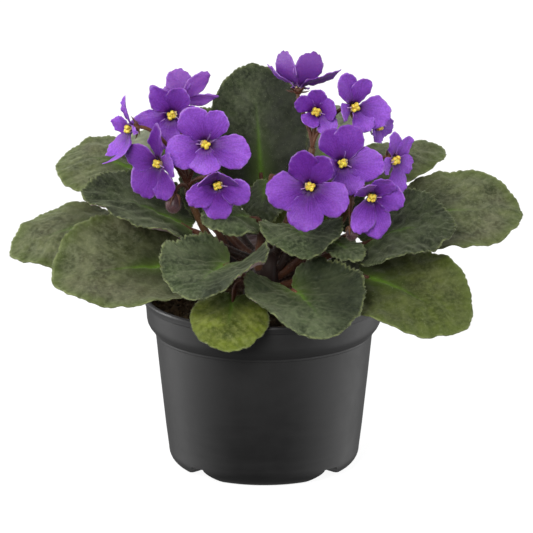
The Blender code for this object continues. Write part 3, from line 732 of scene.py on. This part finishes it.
def cut(target, cutters):
    """Take the cutters out of an object."""
    group = bpy.data.collections.new("cutters")
    bpy.context.scene.collection.children.link(group)
    for cutter in cutters:
        bpy.context.collection.objects.unlink(cutter)
        group.objects.link(cutter)
    change = target.modifiers.new("cut", "BOOLEAN")
    change.operand_type = "COLLECTION"
    change.collection = group
    change.solver = "EXACT"
    with bpy.context.temp_override(object=target, active_object=target, selected_objects=[target]):
        bpy.ops.object.modifier_apply(modifier=change.name)
    for cutter in cutters:
        bpy.data.objects.remove(cutter)
    bpy.data.collections.remove(group)


def foot_cutter(angle, outline):
    """A prism of the given outline, across and up, through the ring of feet at an angle from the front."""
    inner, outer = FOOT_RING
    count = len(outline)
    corners = np.array([(x, -y, z) for y in (inner, outer) for x, z in outline])
    sides = [(0, here, here + 1) for here in range(1, count - 1)]
    sides += [(count, count + here + 1, count + here) for here in range(1, count - 1)]
    for here in range(count):
        there = (here + 1) % count
        sides += [(here, there + count, there), (here, here + count, there + count)]
    return helper_object("foot_cutter", corners @ level_turn(math.radians(angle)), np.array(sides)[:, ::-1])


def foot_arch(width, height, steps):
    """The outline of a gap between two feet, with its sides curving out at the foot."""
    lean = np.linspace(0, 1, steps)
    half = width / 2 * (1 - 0.62 * smooth_step(0, 1, lean)) + 0.8 * (1 - lean) ** 3
    right = list(zip(half, height * lean))
    left = [(-x, z) for x, z in reversed(right)]
    return [(-half[0], UNDER_FOOT), (half[0], UNDER_FOOT), *right, *left]


def drain_cutter(angle):
    turn = math.radians(angle)
    centre = np.array([math.sin(turn), -math.cos(turn), 0]) * DRAIN_HOLE_PLACE
    curve = np.array([centre + (0, 0, FLOOR_UNDER - 3), centre + (0, 0, FLOOR_TOP + 3)])
    return helper_object("drain_cutter", *tube(curve, (DRAIN_HOLE_RADIUS, DRAIN_HOLE_RADIUS), 32))


def arc(centre, radius, start, end, steps):
    """Profile points along a round edge, angles counted from straight out towards the top."""
    angle = np.radians(np.linspace(start, end, steps))
    return list(zip(centre[0] + radius * np.cos(angle), centre[1] + radius * np.sin(angle)))


def make_pot():
    bead = (RIM_RADIUS - 1.0, RIM_TOP - 1.0)
    profile = [
        (0.0, FLOOR_UNDER), (29.4, FLOOR_UNDER), (29.9, 6.0), (30.2, 0.4), (30.5, 0.0), (33.6, 0.0),
        *arc((33.8, 7.8), 7.8, -86, -6, 10),
        (BODY_BOTTOM_RADIUS, 7.8), (42.9, 18.0), (45.3, 40.0), (BODY_TOP_RADIUS - 0.15, BODY_TOP - 1.2),
        (BODY_TOP_RADIUS + 0.1, BODY_TOP - 0.9), (BODY_TOP_RADIUS + 0.15, BODY_TOP),
        (48.6, 61.6), (50.0, 63.4), (50.8, 65.0), (BAND_RADIUS, BAND_BOTTOM + 0.8),
        (BAND_RADIUS + 0.45, 72.3), (BAND_RADIUS + 0.5, 72.9), (BAND_RADIUS + 0.95, 73.3),
        *arc(bead, 1.0, -40, 130, 9),
        (RIM_RADIUS - 2.2, RIM_TOP - 0.9), (BAND_RADIUS - WALL + 0.2, 73.0),
        (BAND_RADIUS - WALL, BAND_BOTTOM + 0.6), (BODY_TOP_RADIUS - WALL, BODY_TOP + 0.6),
        (BODY_BOTTOM_RADIUS - WALL, FLOOR_TOP), (0.0, FLOOR_TOP),
    ]
    piece = Piece("pot_shell")
    piece.add(*turned(profile, POT_STEPS), 0)
    pot = piece.make([pot_finish()])
    cutters = [foot_cutter(angle, foot_arch(*FOOT_GAP, 9)) for angle in FOOT_GAP_ANGLES]
    cutters += [foot_cutter(angle, foot_arch(*FOOT_NOTCH, 5)) for angle in FOOT_NOTCH_ANGLES]
    cutters += [drain_cutter(angle) for angle in FOOT_GAP_ANGLES]
    cut(pot, cutters)
    pot.data.set_sharp_from_angle(angle=math.radians(32))
    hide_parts("pot")
    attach(pot, "root")


def soil_height(x, y):
    """The clods and hollows of the soil's surface."""
    rough = np.sin(0.31 * x + 1.0) * np.cos(0.27 * y) + 0.6 * np.sin(0.55 * x - 0.43 * y + 2.0)
    return SOIL_TOP + 1.1 * rough


def make_soil():
    dice = np.random.default_rng(7)
    hollow = CROWN_RADIUS + 0.6
    edge = BAND_RADIUS - WALL - 0.5
    rings = np.linspace(edge, hollow, SOIL_RINGS)
    profile = [(0.0, FLOOR_TOP + SOIL_GAP), (BODY_BOTTOM_RADIUS - WALL - 0.5, FLOOR_TOP + SOIL_GAP),
               (BODY_TOP_RADIUS - WALL - 0.5, BODY_TOP + 0.8), (edge - 0.1, BAND_BOTTOM + 0.8),
               *[(radius, SOIL_TOP) for radius in rings],
               (hollow, CROWN_BOTTOM - SOIL_GAP), (0.0, CROWN_BOTTOM - SOIL_GAP)]
    points, triangles = turned(profile, SOIL_STEPS)
    top = points[:, 2] > SOIL_TOP - 0.1
    x, y = points[top, 0], points[top, 1]
    inside = smooth_step(0, 2.0, edge - np.hypot(x, y))
    points[top, 2] = soil_height(x, y) + inside * (
        ripples(x, y, dice, (2.5, 5.0), 10) * 0.45 + ripples(x, y, dice, (1.4, 2.4), 10) * 0.25)
    piece = Piece("soil_bed")
    piece.add(points, triangles, 0)
    golden = (1 + math.sqrt(5)) / 2
    lump = np.array([(-1, golden, 0), (1, golden, 0), (-1, -golden, 0), (1, -golden, 0), (0, -1, golden),
                     (0, 1, golden), (0, -1, -golden), (0, 1, -golden), (golden, 0, -1), (golden, 0, 1),
                     (-golden, 0, -1), (-golden, 0, 1)]) / golden
    faces = np.array([(0, 11, 5), (0, 5, 1), (0, 1, 7), (0, 7, 10), (0, 10, 11), (1, 5, 9), (5, 11, 4),
                      (11, 10, 2), (10, 7, 6), (7, 1, 8), (3, 9, 4), (3, 4, 2), (3, 2, 6), (3, 6, 8),
                      (3, 8, 9), (4, 9, 5), (2, 4, 11), (6, 2, 10), (8, 6, 7), (9, 8, 1)])
    for _ in range(CRUMBS):
        radius = math.sqrt(dice.uniform((hollow + 2) ** 2, (edge - 1.6) ** 2))
        turn = dice.uniform(0, TAU)
        x, y = radius * math.cos(turn), radius * math.sin(turn)
        size = dice.uniform(*CRUMB_SIZES) * dice.uniform(0.6, 1.3, 3)
        crumb = lump * dice.uniform(0.75, 1.2, (12, 1)) * size / 2
        crumb = crumb @ level_turn(dice.uniform(0, TAU))
        piece.add(crumb + (x, y, soil_height(x, y) + 0.35), faces, 0)
    made = piece.make([soil_finish()])
    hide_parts("soil")
    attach(made, "root")


# Leaves


def leaf_axes(leaf):
    """The blade's own axes: along the midrib, across it and out of its upper side."""
    along = unit(np.subtract(leaf.tip, leaf.joint))
    up = np.array(leaf.faces, float)
    up = unit(up - along * up.dot(along))
    return along, np.cross(up, along), up


def leaf_mesh(leaf):
    """How many teeth and rings of points a blade has."""
    return next((teeth, rings) for width, teeth, rings in BLADE_MESHES if leaf.width > width)


def leaf_shape(leaf, reach, angle, dice, crinkle):
    """The points of the blade's upper side and what its colours depend on. crinkle scales its teeth
    and quilting."""
    along, across, up = leaf_axes(leaf)
    length = np.linalg.norm(np.subtract(leaf.tip, leaf.joint))
    half_length = length / (2 + leaf.point - leaf.notch)
    half_width = leaf.width / 2
    from_tip = np.minimum(angle, TAU - angle)
    radius = 1 + leaf.point * bell(from_tip, TIP_SPREAD)
    radius -= leaf.notch * bell((math.pi - from_tip) * leaf.notch, SINUS_SPREAD)
    tooth = np.abs(np.cos(angle * leaf_mesh(leaf)[0] / 2)) * 2 - 1
    uneven = 1 + 0.4 * np.sin(7 * angle + leaf.width) + 0.4 * np.sin(17 * angle + 2 * leaf.width)
    crenate = TOOTH_DEPTH * crinkle * uneven * tooth / half_width + 0.008 * np.cos(18 * angle)
    radius *= 1 + crenate * reach ** 8
    x = half_length * (1 - leaf.notch + reach * radius * np.cos(angle))
    y = half_width * reach * radius * np.sin(angle)
    side = np.abs(y)
    z = leaf.arch * (1 - (2 * x / length - 1) ** 2)
    z += leaf.cup * (y / half_width) ** 2
    z += leaf.wave * reach ** 3 * np.sin(angle * RUFFLES + leaf.width) * np.minimum(1, side / 8)
    z += leaf.lobes * np.maximum(0, 0.5 - x / half_length) ** 2 * side / half_width
    z += 0.35 * reach ** 4 * np.sin(angle * 13 + leaf.width)
    z += 0.30 * crinkle * tooth * uneven * reach ** 10

    spacing = length / 6.5
    bent = x - VEIN_BEND * side ** 2 / half_width
    lane = (bent - VEIN_SLOPE * side) / spacing
    swing = -(np.arctan2(side, bent) - math.atan2(1, VEIN_SLOPE)) / 0.5
    fan = lane < 0
    scale = np.where(fan, 0.5 * np.hypot(side, bent), 0.8 * spacing)
    lane = np.where(fan, swing, lane)
    off_vein = np.abs(lane - np.round(lane)) * scale
    rungs = side / (0.6 * spacing) + 0.5 * (np.round(lane) % 2)
    off_rung = np.abs(rungs - np.round(rungs)) * 0.6 * spacing
    pillow = (1 - bell(off_vein, 0.25 * spacing)) * (1 - 0.35 * bell(off_rung, 0.8))
    out = x / length
    rib = bell(y, 0.40 + 0.9 * np.maximum(0, 1 - out) ** 2) * smooth_step(0.75, 0.0, out)
    z += QUILT_DEPTH * (0.5 + 0.7 * crinkle) * (pillow - 0.5) - 0.55 * rib
    z += 0.24 * ripples(x, y, dice, (7, 14)) + 0.11 * crinkle * ripples(x, y, dice, (3, 6), 10)
    puckers = ripples(x, y, dice, (2.2, 4.5), 12)
    z += 0.05 * puckers
    points = np.array(leaf.joint, float) + x[:, None] * along + y[:, None] * across + z[:, None] * up
    inward = (1 - reach) * half_width
    values = {
        "groove": bell(off_vein, 0.9) * smooth_step(-1.2, 0.8, puckers),
        "rib": rib,
        "glow": bell(y, 1.5 + 4.0 * np.maximum(0, 1 - out)) * smooth_step(0.6, 0.0, out),
        "rim": bell(inward, 0.5),
        "edge": bell(inward, 4.0) * smooth_step(0.1, 0.5, out),
        # painted shade about the joint
        "heart": bell(np.hypot(x - 0.05 * length, y), 0.40 * length),
        "side": y / half_width,
    }
    return points, values


def make_leaf(name, leaf, number, finishes):
    dice = np.random.default_rng(100 + number)
    teeth, rings = leaf_mesh(leaf)
    rim_count = 4 * teeth
    counts = [rim_count // 16, rim_count // 8, rim_count // 4]
    counts += [rim_count // 4] * (rings // 8)
    counts += [rim_count // 2] * (rings - len(counts) - 5) + [rim_count] * 5
    reach, angle = disc_places(counts)
    tone = LEAF_TONES.get(name, "olive")
    plain = tone in PLAIN_TONES or name in PLAIN_BLADES
    upper, values = leaf_shape(leaf, reach, angle, dice, PLAIN_EDGE if plain else 1.0)
    # Painted shade over one side of the blades named in SHADED_SIDE, joined to the painted shade about the
    # joint
    side = values.pop("side") * SHADED_SIDE.get(name, 0)
    values["heart"] = np.maximum(values["heart"], SHADED_SIDE_DEPTH * smooth_step(-0.15, 0.45, side))
    triangles = disc_triangles(counts)
    normals = point_normals(upper, triangles)
    thickness = BLADE_THICKNESS * (0.55 + 0.45 * smooth_step(0, 0.12, 1 - reach))
    lower = upper - normals * (thickness + 0.9 * values["rib"] + 0.25 * values["groove"])[:, None]
    piece = Piece("leaf_" + name)
    piece.add_sheet(upper, lower, triangles, rim_count, **values)

    along, _, _ = leaf_axes(leaf)
    area = leaf.width * np.linalg.norm(np.subtract(leaf.tip, leaf.joint)) * 0.75
    above, below = int(area * HAIRS_ABOVE), int(area * HAIRS_BELOW)
    scatter_hairs(piece, upper, triangles, above, dice, 0.6, along * 0.25, 0.018, 2)
    scatter_hairs(piece, lower, triangles[:, ::-1], below, dice, 0.8, along * 0.4, 0.025, 2)
    rim = np.arange(len(upper) - rim_count, len(upper))
    outward = unit(upper[rim] - upper[rim - rim_count])
    for share in RIM_HAIR_SHARES:
        roots = (upper[rim] * (1 - share) + upper[np.roll(rim, -1)] * share + lower[rim]) / 2
        lean = outward + normals[rim] * dice.uniform(-0.5, 0.9, (rim_count, 1))
        lean += dice.normal(0, 0.25, (rim_count, 3))
        hairs(piece, roots, lean, dice.uniform(0.35, 0.85, rim_count), 0.03, 2)
    made = piece.make([finishes[tone], finishes["under"], finishes["hair"]])
    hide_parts("leaf_blade_" + name)
    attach(made, "root")


# Stems


def petiole_curve(leaf):
    along, _, up = leaf_axes(leaf)
    below = leaf.notch > DEEP_NOTCH
    joint = np.array(leaf.joint) - along * 0.75 - up * 0.8
    end = joint - up * (1.6 if below else 0.0)
    arriving = unit(along + up) if below else along
    outward = unit(np.array([end[0], end[1], 0]))
    root = outward * 4.0 + (0, 0, np.clip(78.0 + 0.4 * (end[2] - 88.0), 78.0, 92.0))
    span = np.linalg.norm(end - root)
    leaving = root + (outward + (0, 0, 0.35)) * span * 0.35
    curve = bezier(root, leaving, end - arriving * span * 0.3, end, 22)
    under = [joint + along * step + up * (leaf.arch * 0.075 * step - 0.1) for step in (2.0, 4.0, 6.0)]
    return np.concatenate([curve, under])


def flower_axes(flower):
    """The flower's own axes: to its right, to its top and out of its face."""
    azimuth, elevation = math.radians(flower.azimuth), math.radians(flower.elevation)
    level = np.array([math.sin(azimuth), -math.cos(azimuth), 0])
    face = level * math.cos(elevation) + (0, 0, math.sin(elevation))
    right = np.array([math.cos(azimuth), math.sin(azimuth), 0])
    return right, np.cross(face, right), face


def add_stem(piece, curve, radii, sides, dice, hair_density, hair_length, stalk=0.0, shadow=1.0, **shape):
    """A stem with its hairs, hair_density of them for each millimetre. stalk is its share of the colour of
    the flower stalks, and shadow its share of the shade about the crown."""
    points, triangles = tube(curve, radii, sides, **shape)
    shade = smooth_step(36, 14, np.hypot(points[:, 0], points[:, 1])) * smooth_step(118, 98, points[:, 2])
    piece.add(points, triangles, 0, shade=shade * shadow, stalk=stalk)
    length = np.linalg.norm(np.diff(curve, axis=0), axis=1).sum()
    count = int(length * hair_density)
    scatter_hairs(piece, points, triangles, count, dice, hair_length, (0, 0, 0.1), 0.04, 1)


def add_calyx(piece, flower, dice):
    """Five pointed sepals that stand around the back of one corolla, and the cup that they grow from."""
    right, top, face = flower_axes(flower)
    base = np.array(flower.centre) - face * (THROAT_DEPTH + 1.2)
    cup = np.array([base - face * 1.4, base - face * 0.6, base + face * 0.5, base + face * 1.2])
    piece.add(*tube(cup, (0.9, 1.7, 2.1, 1.5), 12), 0)
    for number in range(SEPALS):
        turn = TAU * (number + 0.5) / SEPALS
        outward = between(top, right, turn)
        reach = SEPAL_LENGTH * dice.uniform(0.9, 1.1)
        curve = bezier(base + outward * 0.8, base + outward * reach * 0.45 - face * 0.4,
                       base + outward * reach * 0.75 + face * 0.3, base + outward * reach + face * 1.0, 8)
        add_stem(piece, curve, (0.5, 0.85, 0.8, 0.5, 0.08), 6, dice, 8, 0.7, flat=0.4,
                 side=np.cross(face, outward))


def pedicel_curve(flower):
    _, _, face = flower_axes(flower)
    start = np.array(STALKS[flower.stalk][-1], float)
    end = np.array(flower.centre) - face * (THROAT_DEPTH + 1.8)
    span = np.linalg.norm(end - start)
    return bezier(start, start + (0, 0, 0.35 * span), end - face * span * 0.22, end, 18)


def bud_curve(bud):
    start = np.array(STALKS[bud.stalk][-1], float)
    points = unit(bud.points)
    end = np.array(bud.centre) - points * (bud.length / 2 - 0.2)
    span = np.linalg.norm(end - start)
    return bezier(start, start + np.array([0, -0.5, 0.5]) * span, end - points * span * 0.5, end, 16)


def make_stems(finishes):
    dice = np.random.default_rng(11)
    piece = Piece("stems")
    profile = [(0.0, CROWN_BOTTOM), (CROWN_RADIUS - 1.0, CROWN_BOTTOM), (CROWN_RADIUS - 0.6, 62.0),
               (CROWN_RADIUS, SOIL_TOP), (CROWN_RADIUS + 0.8, 75.0), (CROWN_RADIUS + 0.8, 80.0),
               (CROWN_RADIUS + 0.4, 85.0), (CROWN_RADIUS, 90.0), (6.6, 94.0), (4.5, 96.0), (0.0, CROWN_TOP)]
    points, triangles = turned(profile, 40)
    high = points[:, 2] > SOIL_TOP
    points[high, :2] *= (1 + 0.06 * np.sin(points[high, 2:3] * 1.3 + points[high, :1]))
    piece.add(points, triangles, 0, shade=1.0)
    for number, leaf in enumerate(LEAVES.values()):
        add_stem(piece, petiole_curve(leaf), PETIOLE_RADII, 10, dice, 7, 1.3,
                 shadow=PETIOLE_SHADOWS[number % len(PETIOLE_SHADOWS)])
    for points in STALKS.values():
        add_stem(piece, smooth_through(points, 8), STALK_RADII, 12, dice, 8, 1.2, stalk=0.8)
    for flower in FLOWERS.values():
        add_stem(piece, pedicel_curve(flower), (PEDICEL_RADIUS * 1.15, PEDICEL_RADIUS), 8, dice, 7, 0.9)
        add_calyx(piece, flower, dice)
    for bud in BUDS.values():
        add_stem(piece, bud_curve(bud), (PEDICEL_RADIUS, PEDICEL_RADIUS), 8, dice, 7, 0.9)
    made = piece.make([finishes["stem"], finishes["stem_hair"]])
    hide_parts("crown_and_stems")
    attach(made, "root")


# Flowers


def petal_shape(flower, petal, reach, angle, layer, dice):
    """The points of one petal's front and what its colours depend on."""
    right, top, face = flower_axes(flower)
    bearing, length, fold, breadth, point = petal
    turn = math.radians(bearing)
    outward = between(top, right, turn)
    sideways = np.cross(face, outward)
    width = PETAL_WIDTH * length * breadth * flower.spread / FULL_SPREAD
    phase = dice.uniform(0, TAU, 8)
    waves = ((0.035, 2, 0), (0.030, 3, 1), (0.026, 6, 2), (0.016, 13, 3), (0.008, 25, 6))
    outline = 1 + reach ** 3 * sum(
        size * np.sin(count * angle + phase[which]) for size, count, which in waves)
    from_tip = np.minimum(angle, TAU - angle)
    tip = point * bell(from_tip, 0.4) * reach ** 3
    along = 0.53 + (0.47 * outline + tip) * reach * np.cos(angle)
    across = outline * reach * np.sin(angle) * np.minimum(1, 0.5 + 0.95 * along)
    distance = length * along
    y = width * across
    from_middle = np.hypot(distance, y)
    bend = math.radians(fold) * (0.2 + 0.8 * along)
    is_upper = math.cos(turn) > 0.3
    cup = (0.05 if is_upper else -0.06) * length
    rise = cup * across ** 2 * along - 0.9 * across ** 2 * smooth_step(0.62, 0.30, along)
    for size, count, which, power in ((0.45, 2, 4, 3), (0.32, 5, 5, 4), (0.24, 11, 7, 6), (0.10, 23, 6, 8)):
        rise += size * np.sin(count * angle + phase[which]) * reach ** power
    rise -= 0.35 * np.maximum(0, along - 0.78) ** 2 * length
    fan = y / np.maximum(from_middle, 0.5)
    pleats = sum(size * np.sin(fan * count + phase[which])
                 for size, count, which in ((1.0, 19, 0), (0.8, 37, 1), (0.5, 61, 2)))
    rise += 0.022 * pleats * (1 - reach ** 6) * smooth_step(0.1, 0.5, along)
    rise -= 0.14 * bell(y, 1.4) * (1 if is_upper else -1) * smooth_step(0.1, 0.4, along)
    rise += layer * smooth_step(0.2, 0.75, along) - THROAT_DEPTH * bell(from_middle, THROAT_RADIUS)
    points = (np.array(flower.centre) + np.outer(distance * np.cos(bend), outward)
              + np.outer(y, sideways) + np.outer(distance * np.sin(bend) + rise, face))
    values = {
        "along": from_middle / length,
        "across": fan,
        "rim": bell((1 - reach) * width, 0.25),
        # upper petals get more of the dark violet, partly as painted shade
        "upper": dice.uniform(0.45, 0.85) if is_upper else dice.uniform(0.0, 0.25),
    }
    return points, values


def make_flower(name, flower, number, finishes):
    dice = np.random.default_rng(300 + number)
    reach, angle = disc_places(PETAL_RINGS)
    triangles = disc_triangles(PETAL_RINGS)
    piece = Piece("corolla_of_" + name)
    face = flower_axes(flower)[2]
    order = sorted(range(5), key=lambda index: -math.cos(math.radians(flower.petals[index][0])))
    for rank, index in enumerate(order):
        layer = FRONT_LAYER - LAYER_STEP * rank
        petal = Petal(*flower.petals[index])
        upper, values = petal_shape(flower, petal, reach, angle, layer, dice)
        # painted shade and light for the whole flower
        values["upper"] = min(1.0, max(0.0, values["upper"] + PAINTED_FLOWER_SHADING.get(name, 0.0)))
        normals = point_normals(upper, triangles)
        flip = (normals @ face).sum() < 0
        depth = PETAL_THICKNESS * (0.5 + 0.5 * smooth_step(0, 0.1, 1 - reach))
        lower = upper + normals * (depth if flip else -depth)[:, None]
        piece.add_sheet(upper, lower, triangles, PETAL_RINGS[-1], flip, number=number + index / 5, **values)
    made = piece.make([finishes["petal"], finishes["petal_back"]])
    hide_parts("corolla_" + name)
    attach(made, "root")


def ellipsoid(radii, sides=18, rings=10):
    """The points and triangles of an ellipsoid about the origin."""
    angle = np.linspace(0, math.pi, rings + 1)
    profile = [(math.sin(a), -math.cos(a)) for a in angle]
    points, triangles = turned(profile, sides)
    return points * radii, triangles


def make_anthers(name, flower, number, finishes):
    """The yellow pollen sacs, joined in two pairs, with the pale lumps beside them and the thin style."""
    dice = np.random.default_rng(500 + number)
    right, top, face = flower_axes(flower)
    middle = np.array(flower.centre) + face * (ANTHER_RADIUS - THROAT_DEPTH + 1.7)
    turn = dice.uniform(-0.5, 0.5)
    axes = np.array((between(right, top, turn), between(top, -right, turn), face))
    piece = Piece("pollen_sacs_" + name)

    def lump(offset, radii, finish):
        points, triangles = ellipsoid(radii)
        rough = 1 + 0.07 * ripples(points[:, 0], points[:, 1] + points[:, 2], dice, (0.9, 2.2))
        piece.add(middle + (offset + points * rough[:, None]) @ axes, triangles, finish)

    for side in (-1, 1):
        for end in (-1, 1):
            size = dice.uniform(0.88, 1.1)
            lump((side * 0.86 + end * 0.12, end * 0.80, dice.uniform(-0.2, 0.2)),
                 np.multiply(POLLEN_SAC_RADII, size), 0)
    lump((0, 0, -0.4), (1.4, 1.4, 1.2), 0)
    away = 1 if number % 2 else -1
    for across, up in PALE_LUMPS:
        lump((away * across, up, -0.9), dice.uniform(0.55, 0.85, 3), 1)
    for side in (-1, 1):
        foot = middle + axes[0] * side * 0.9 - face * 3.0
        filament = bezier(foot, foot + face, foot + face * 1.4, foot + face * 2.4, 6)
        piece.add(*tube(filament, (0.6, 0.45), 8), 1)
    lean = unit(right * away + top * dice.uniform(-0.6, 0.2) + face * 0.25)
    start = middle - face * 1.6
    style = bezier(start, start + face * 1.2, start + face * 1.4 + lean * 2.2,
                   start + face * 1.2 + lean * 4.4, 10)
    piece.add(*tube(style, (0.17, 0.15, 0.15, 0.24), 8), 2)
    made = piece.make([finishes["pollen"], finishes["filament"], finishes["style"]])
    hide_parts("anthers_" + name)
    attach(made, "root")


def make_bud(name, bud, number, finishes):
    """A closed bud with its sepals pressed round it."""
    dice = np.random.default_rng(700 + number)
    points = unit(bud.points)
    side = any_side(points)
    across = np.cross(points, side)
    shape, triangles = ellipsoid(1, 28, 18)
    fat = 1 + 0.18 * shape[:, 2:3] - 0.16 * shape[:, 2:3] ** 2
    folds = 1 + 0.05 * np.cos(5 * np.arctan2(shape[:, 1:2], shape[:, 0:1]))
    shape[:, :2] *= fat * folds
    radii = np.array([bud.width / 2, bud.width / 2, bud.length / 2])
    shape = np.array(bud.centre) + (shape * radii) @ np.array([side, across, points])
    piece = Piece("flower_bud_" + name)
    piece.add(shape, triangles, 0)
    scatter_hairs(piece, shape, triangles, BUD_HAIRS, dice, 0.9, points * 0.4, 0.04, 1)
    for sepal in range(SEPALS):
        turn = TAU * sepal / SEPALS + 0.4
        outward = between(side, across, turn)
        base = np.array(bud.centre) - points * bud.length * 0.5
        curve = bezier(base + outward * 0.6, base + outward * bud.width * 0.42,
                       base + outward * bud.width * 0.55 + points * bud.length * 0.3,
                       base + outward * bud.width * 0.52 + points * bud.length * 0.62, 8)
        piece.add(*tube(curve, (0.5, 1.0, 0.9, 0.5, 0.08), 6, 0.35, np.cross(points, outward)), 2)
    made = piece.make([finishes["bud"], finishes["stem_hair"], finishes["stem"]])
    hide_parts("bud_" + name)
    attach(made, "root")


# Studio


def add_aimed(name, data, place, target):
    """A lamp or camera at a place, in millimetres, looking at a target."""
    back = unit(np.subtract(place, target))
    side = unit(np.cross((0, 0, 1), back))
    up = np.cross(back, side)
    matrix = np.eye(4)
    matrix[:3, :3] = np.stack([side, up, back], 1)
    matrix[:3, 3] = np.multiply(place, MM)
    made = bpy.data.objects.new(name, data)
    bpy.context.collection.objects.link(made)
    made.matrix_world = Matrix(matrix.tolist())
    return made


def make_camera():
    data = bpy.data.cameras.new("photo_camera")
    data.lens = CAMERA_LENS
    data.sensor_width = 36
    data.clip_start, data.clip_end = 0.1, 100
    rise = math.radians(CAMERA_ELEVATION)
    away = np.array([0, -math.cos(rise), math.sin(rise)]) * CAMERA_DISTANCE
    bpy.context.scene.camera = add_aimed("photo_camera", data, CAMERA_TARGET + away, CAMERA_TARGET)


def make_lamp(name, place, size, power, colour):
    data = bpy.data.lights.new(name, "AREA")
    data.shape = "RECTANGLE"
    data.size, data.size_y = size[0] * MM, size[1] * MM
    data.energy = power
    data.color = colour
    add_aimed(name, data, place, LAMP_TARGET).visible_camera = False


def make_world():
    """A white studio: bright above and behind, dimmer in front, with white boards low at both sides."""
    world = bpy.data.worlds.new("studio")
    world.use_nodes = True
    bpy.context.scene.world = world
    sky = Wiring(world.node_tree)
    x, y, z = sky.parts(sky.place("Generated"))
    around = sky.times(sky.span(z, -0.5, 0.7, 0.16, 0.60), sky.span(y, -0.7, 0.6, 0.60, 1.30))
    boards = sky.plus(sky.span(x, -0.92, -0.5, 0.72, 0.0), sky.span(x, 0.45, 0.92, 0.0, 0.9))
    low = sky.times(sky.span(z, -0.1, 0.2, 1.0, 0.0), sky.span(y, -0.5, 0.4, 0.75, 1.40))
    background = sky.tree.nodes["Background"]
    sky.join(sky.plus(around, sky.times(boards, low)), background.inputs["Strength"])
    sky.join((1, 1, 1, 1), background.inputs["Color"])


def make_studio():
    make_world()
    for name, lamp in LAMPS.items():
        make_lamp(name, *lamp)
    bpy.ops.mesh.primitive_plane_add(size=40)
    floor = bpy.context.object
    floor.name = "floor"
    made = Finish("floor_paper", Roughness=0.9, Specular_IOR_Level=0.0, Emission_Strength=0.93,
                  Emission_Color=(1, 1, 1, 1))
    made.paint(made.mix(made.noise(3, 2), (0.16, 0.16, 0.16), (0.18, 0.18, 0.18)))
    floor.data.materials.append(made.material)
    floor.visible_diffuse = floor.visible_glossy = False
    bpy.context.scene.view_settings.view_transform = "Standard"


def main():
    finishes = {tone: leaf_finish(tone) for tone in TONES}
    finishes.update({
        "under": under_finish(),
        "hair": hair_finish("leaf_hair", (0.20, 0.24, 0.11), (0.40, 0.44, 0.27)),
        "stem": stem_finish(),
        "stem_hair": hair_finish("stem_hair", (0.13, 0.06, 0.04), (0.34, 0.20, 0.15)),
        "petal": petal_finish("petal_front", (0.325, 0.105, 0.670), (0.205, 0.046, 0.470),
                              (0.130, 0.018, 0.300), (0.055, 0.003, 0.125), 0.12),
        "petal_back": petal_finish("petal_back", (0.260, 0.085, 0.470), (0.190, 0.050, 0.370),
                                   (0.170, 0.045, 0.330), (0.110, 0.020, 0.230), 0.25),
        "pollen": pollen_finish("pollen_yellow", (0.88, 0.72, 0.09), (0.52, 0.33, 0.03)),
        "filament": pollen_finish("filament_pale", (0.56, 0.44, 0.24), (0.26, 0.15, 0.10)),
        "style": pollen_finish("style_violet", (0.50, 0.30, 0.60), (0.36, 0.18, 0.48)),
        "bud": bud_finish(),
    })
    make_pot()
    make_soil()
    make_stems(finishes)
    for number, (name, leaf) in enumerate(LEAVES.items()):
        make_leaf(name, leaf, number, finishes)
    for number, (name, flower) in enumerate(FLOWERS.items()):
        make_flower(name, flower, number, finishes)
        make_anthers(name, flower, number, finishes)
    for number, (name, bud) in enumerate(BUDS.items()):
        make_bud(name, bud, number, finishes)
    make_camera()
    make_studio()


main()
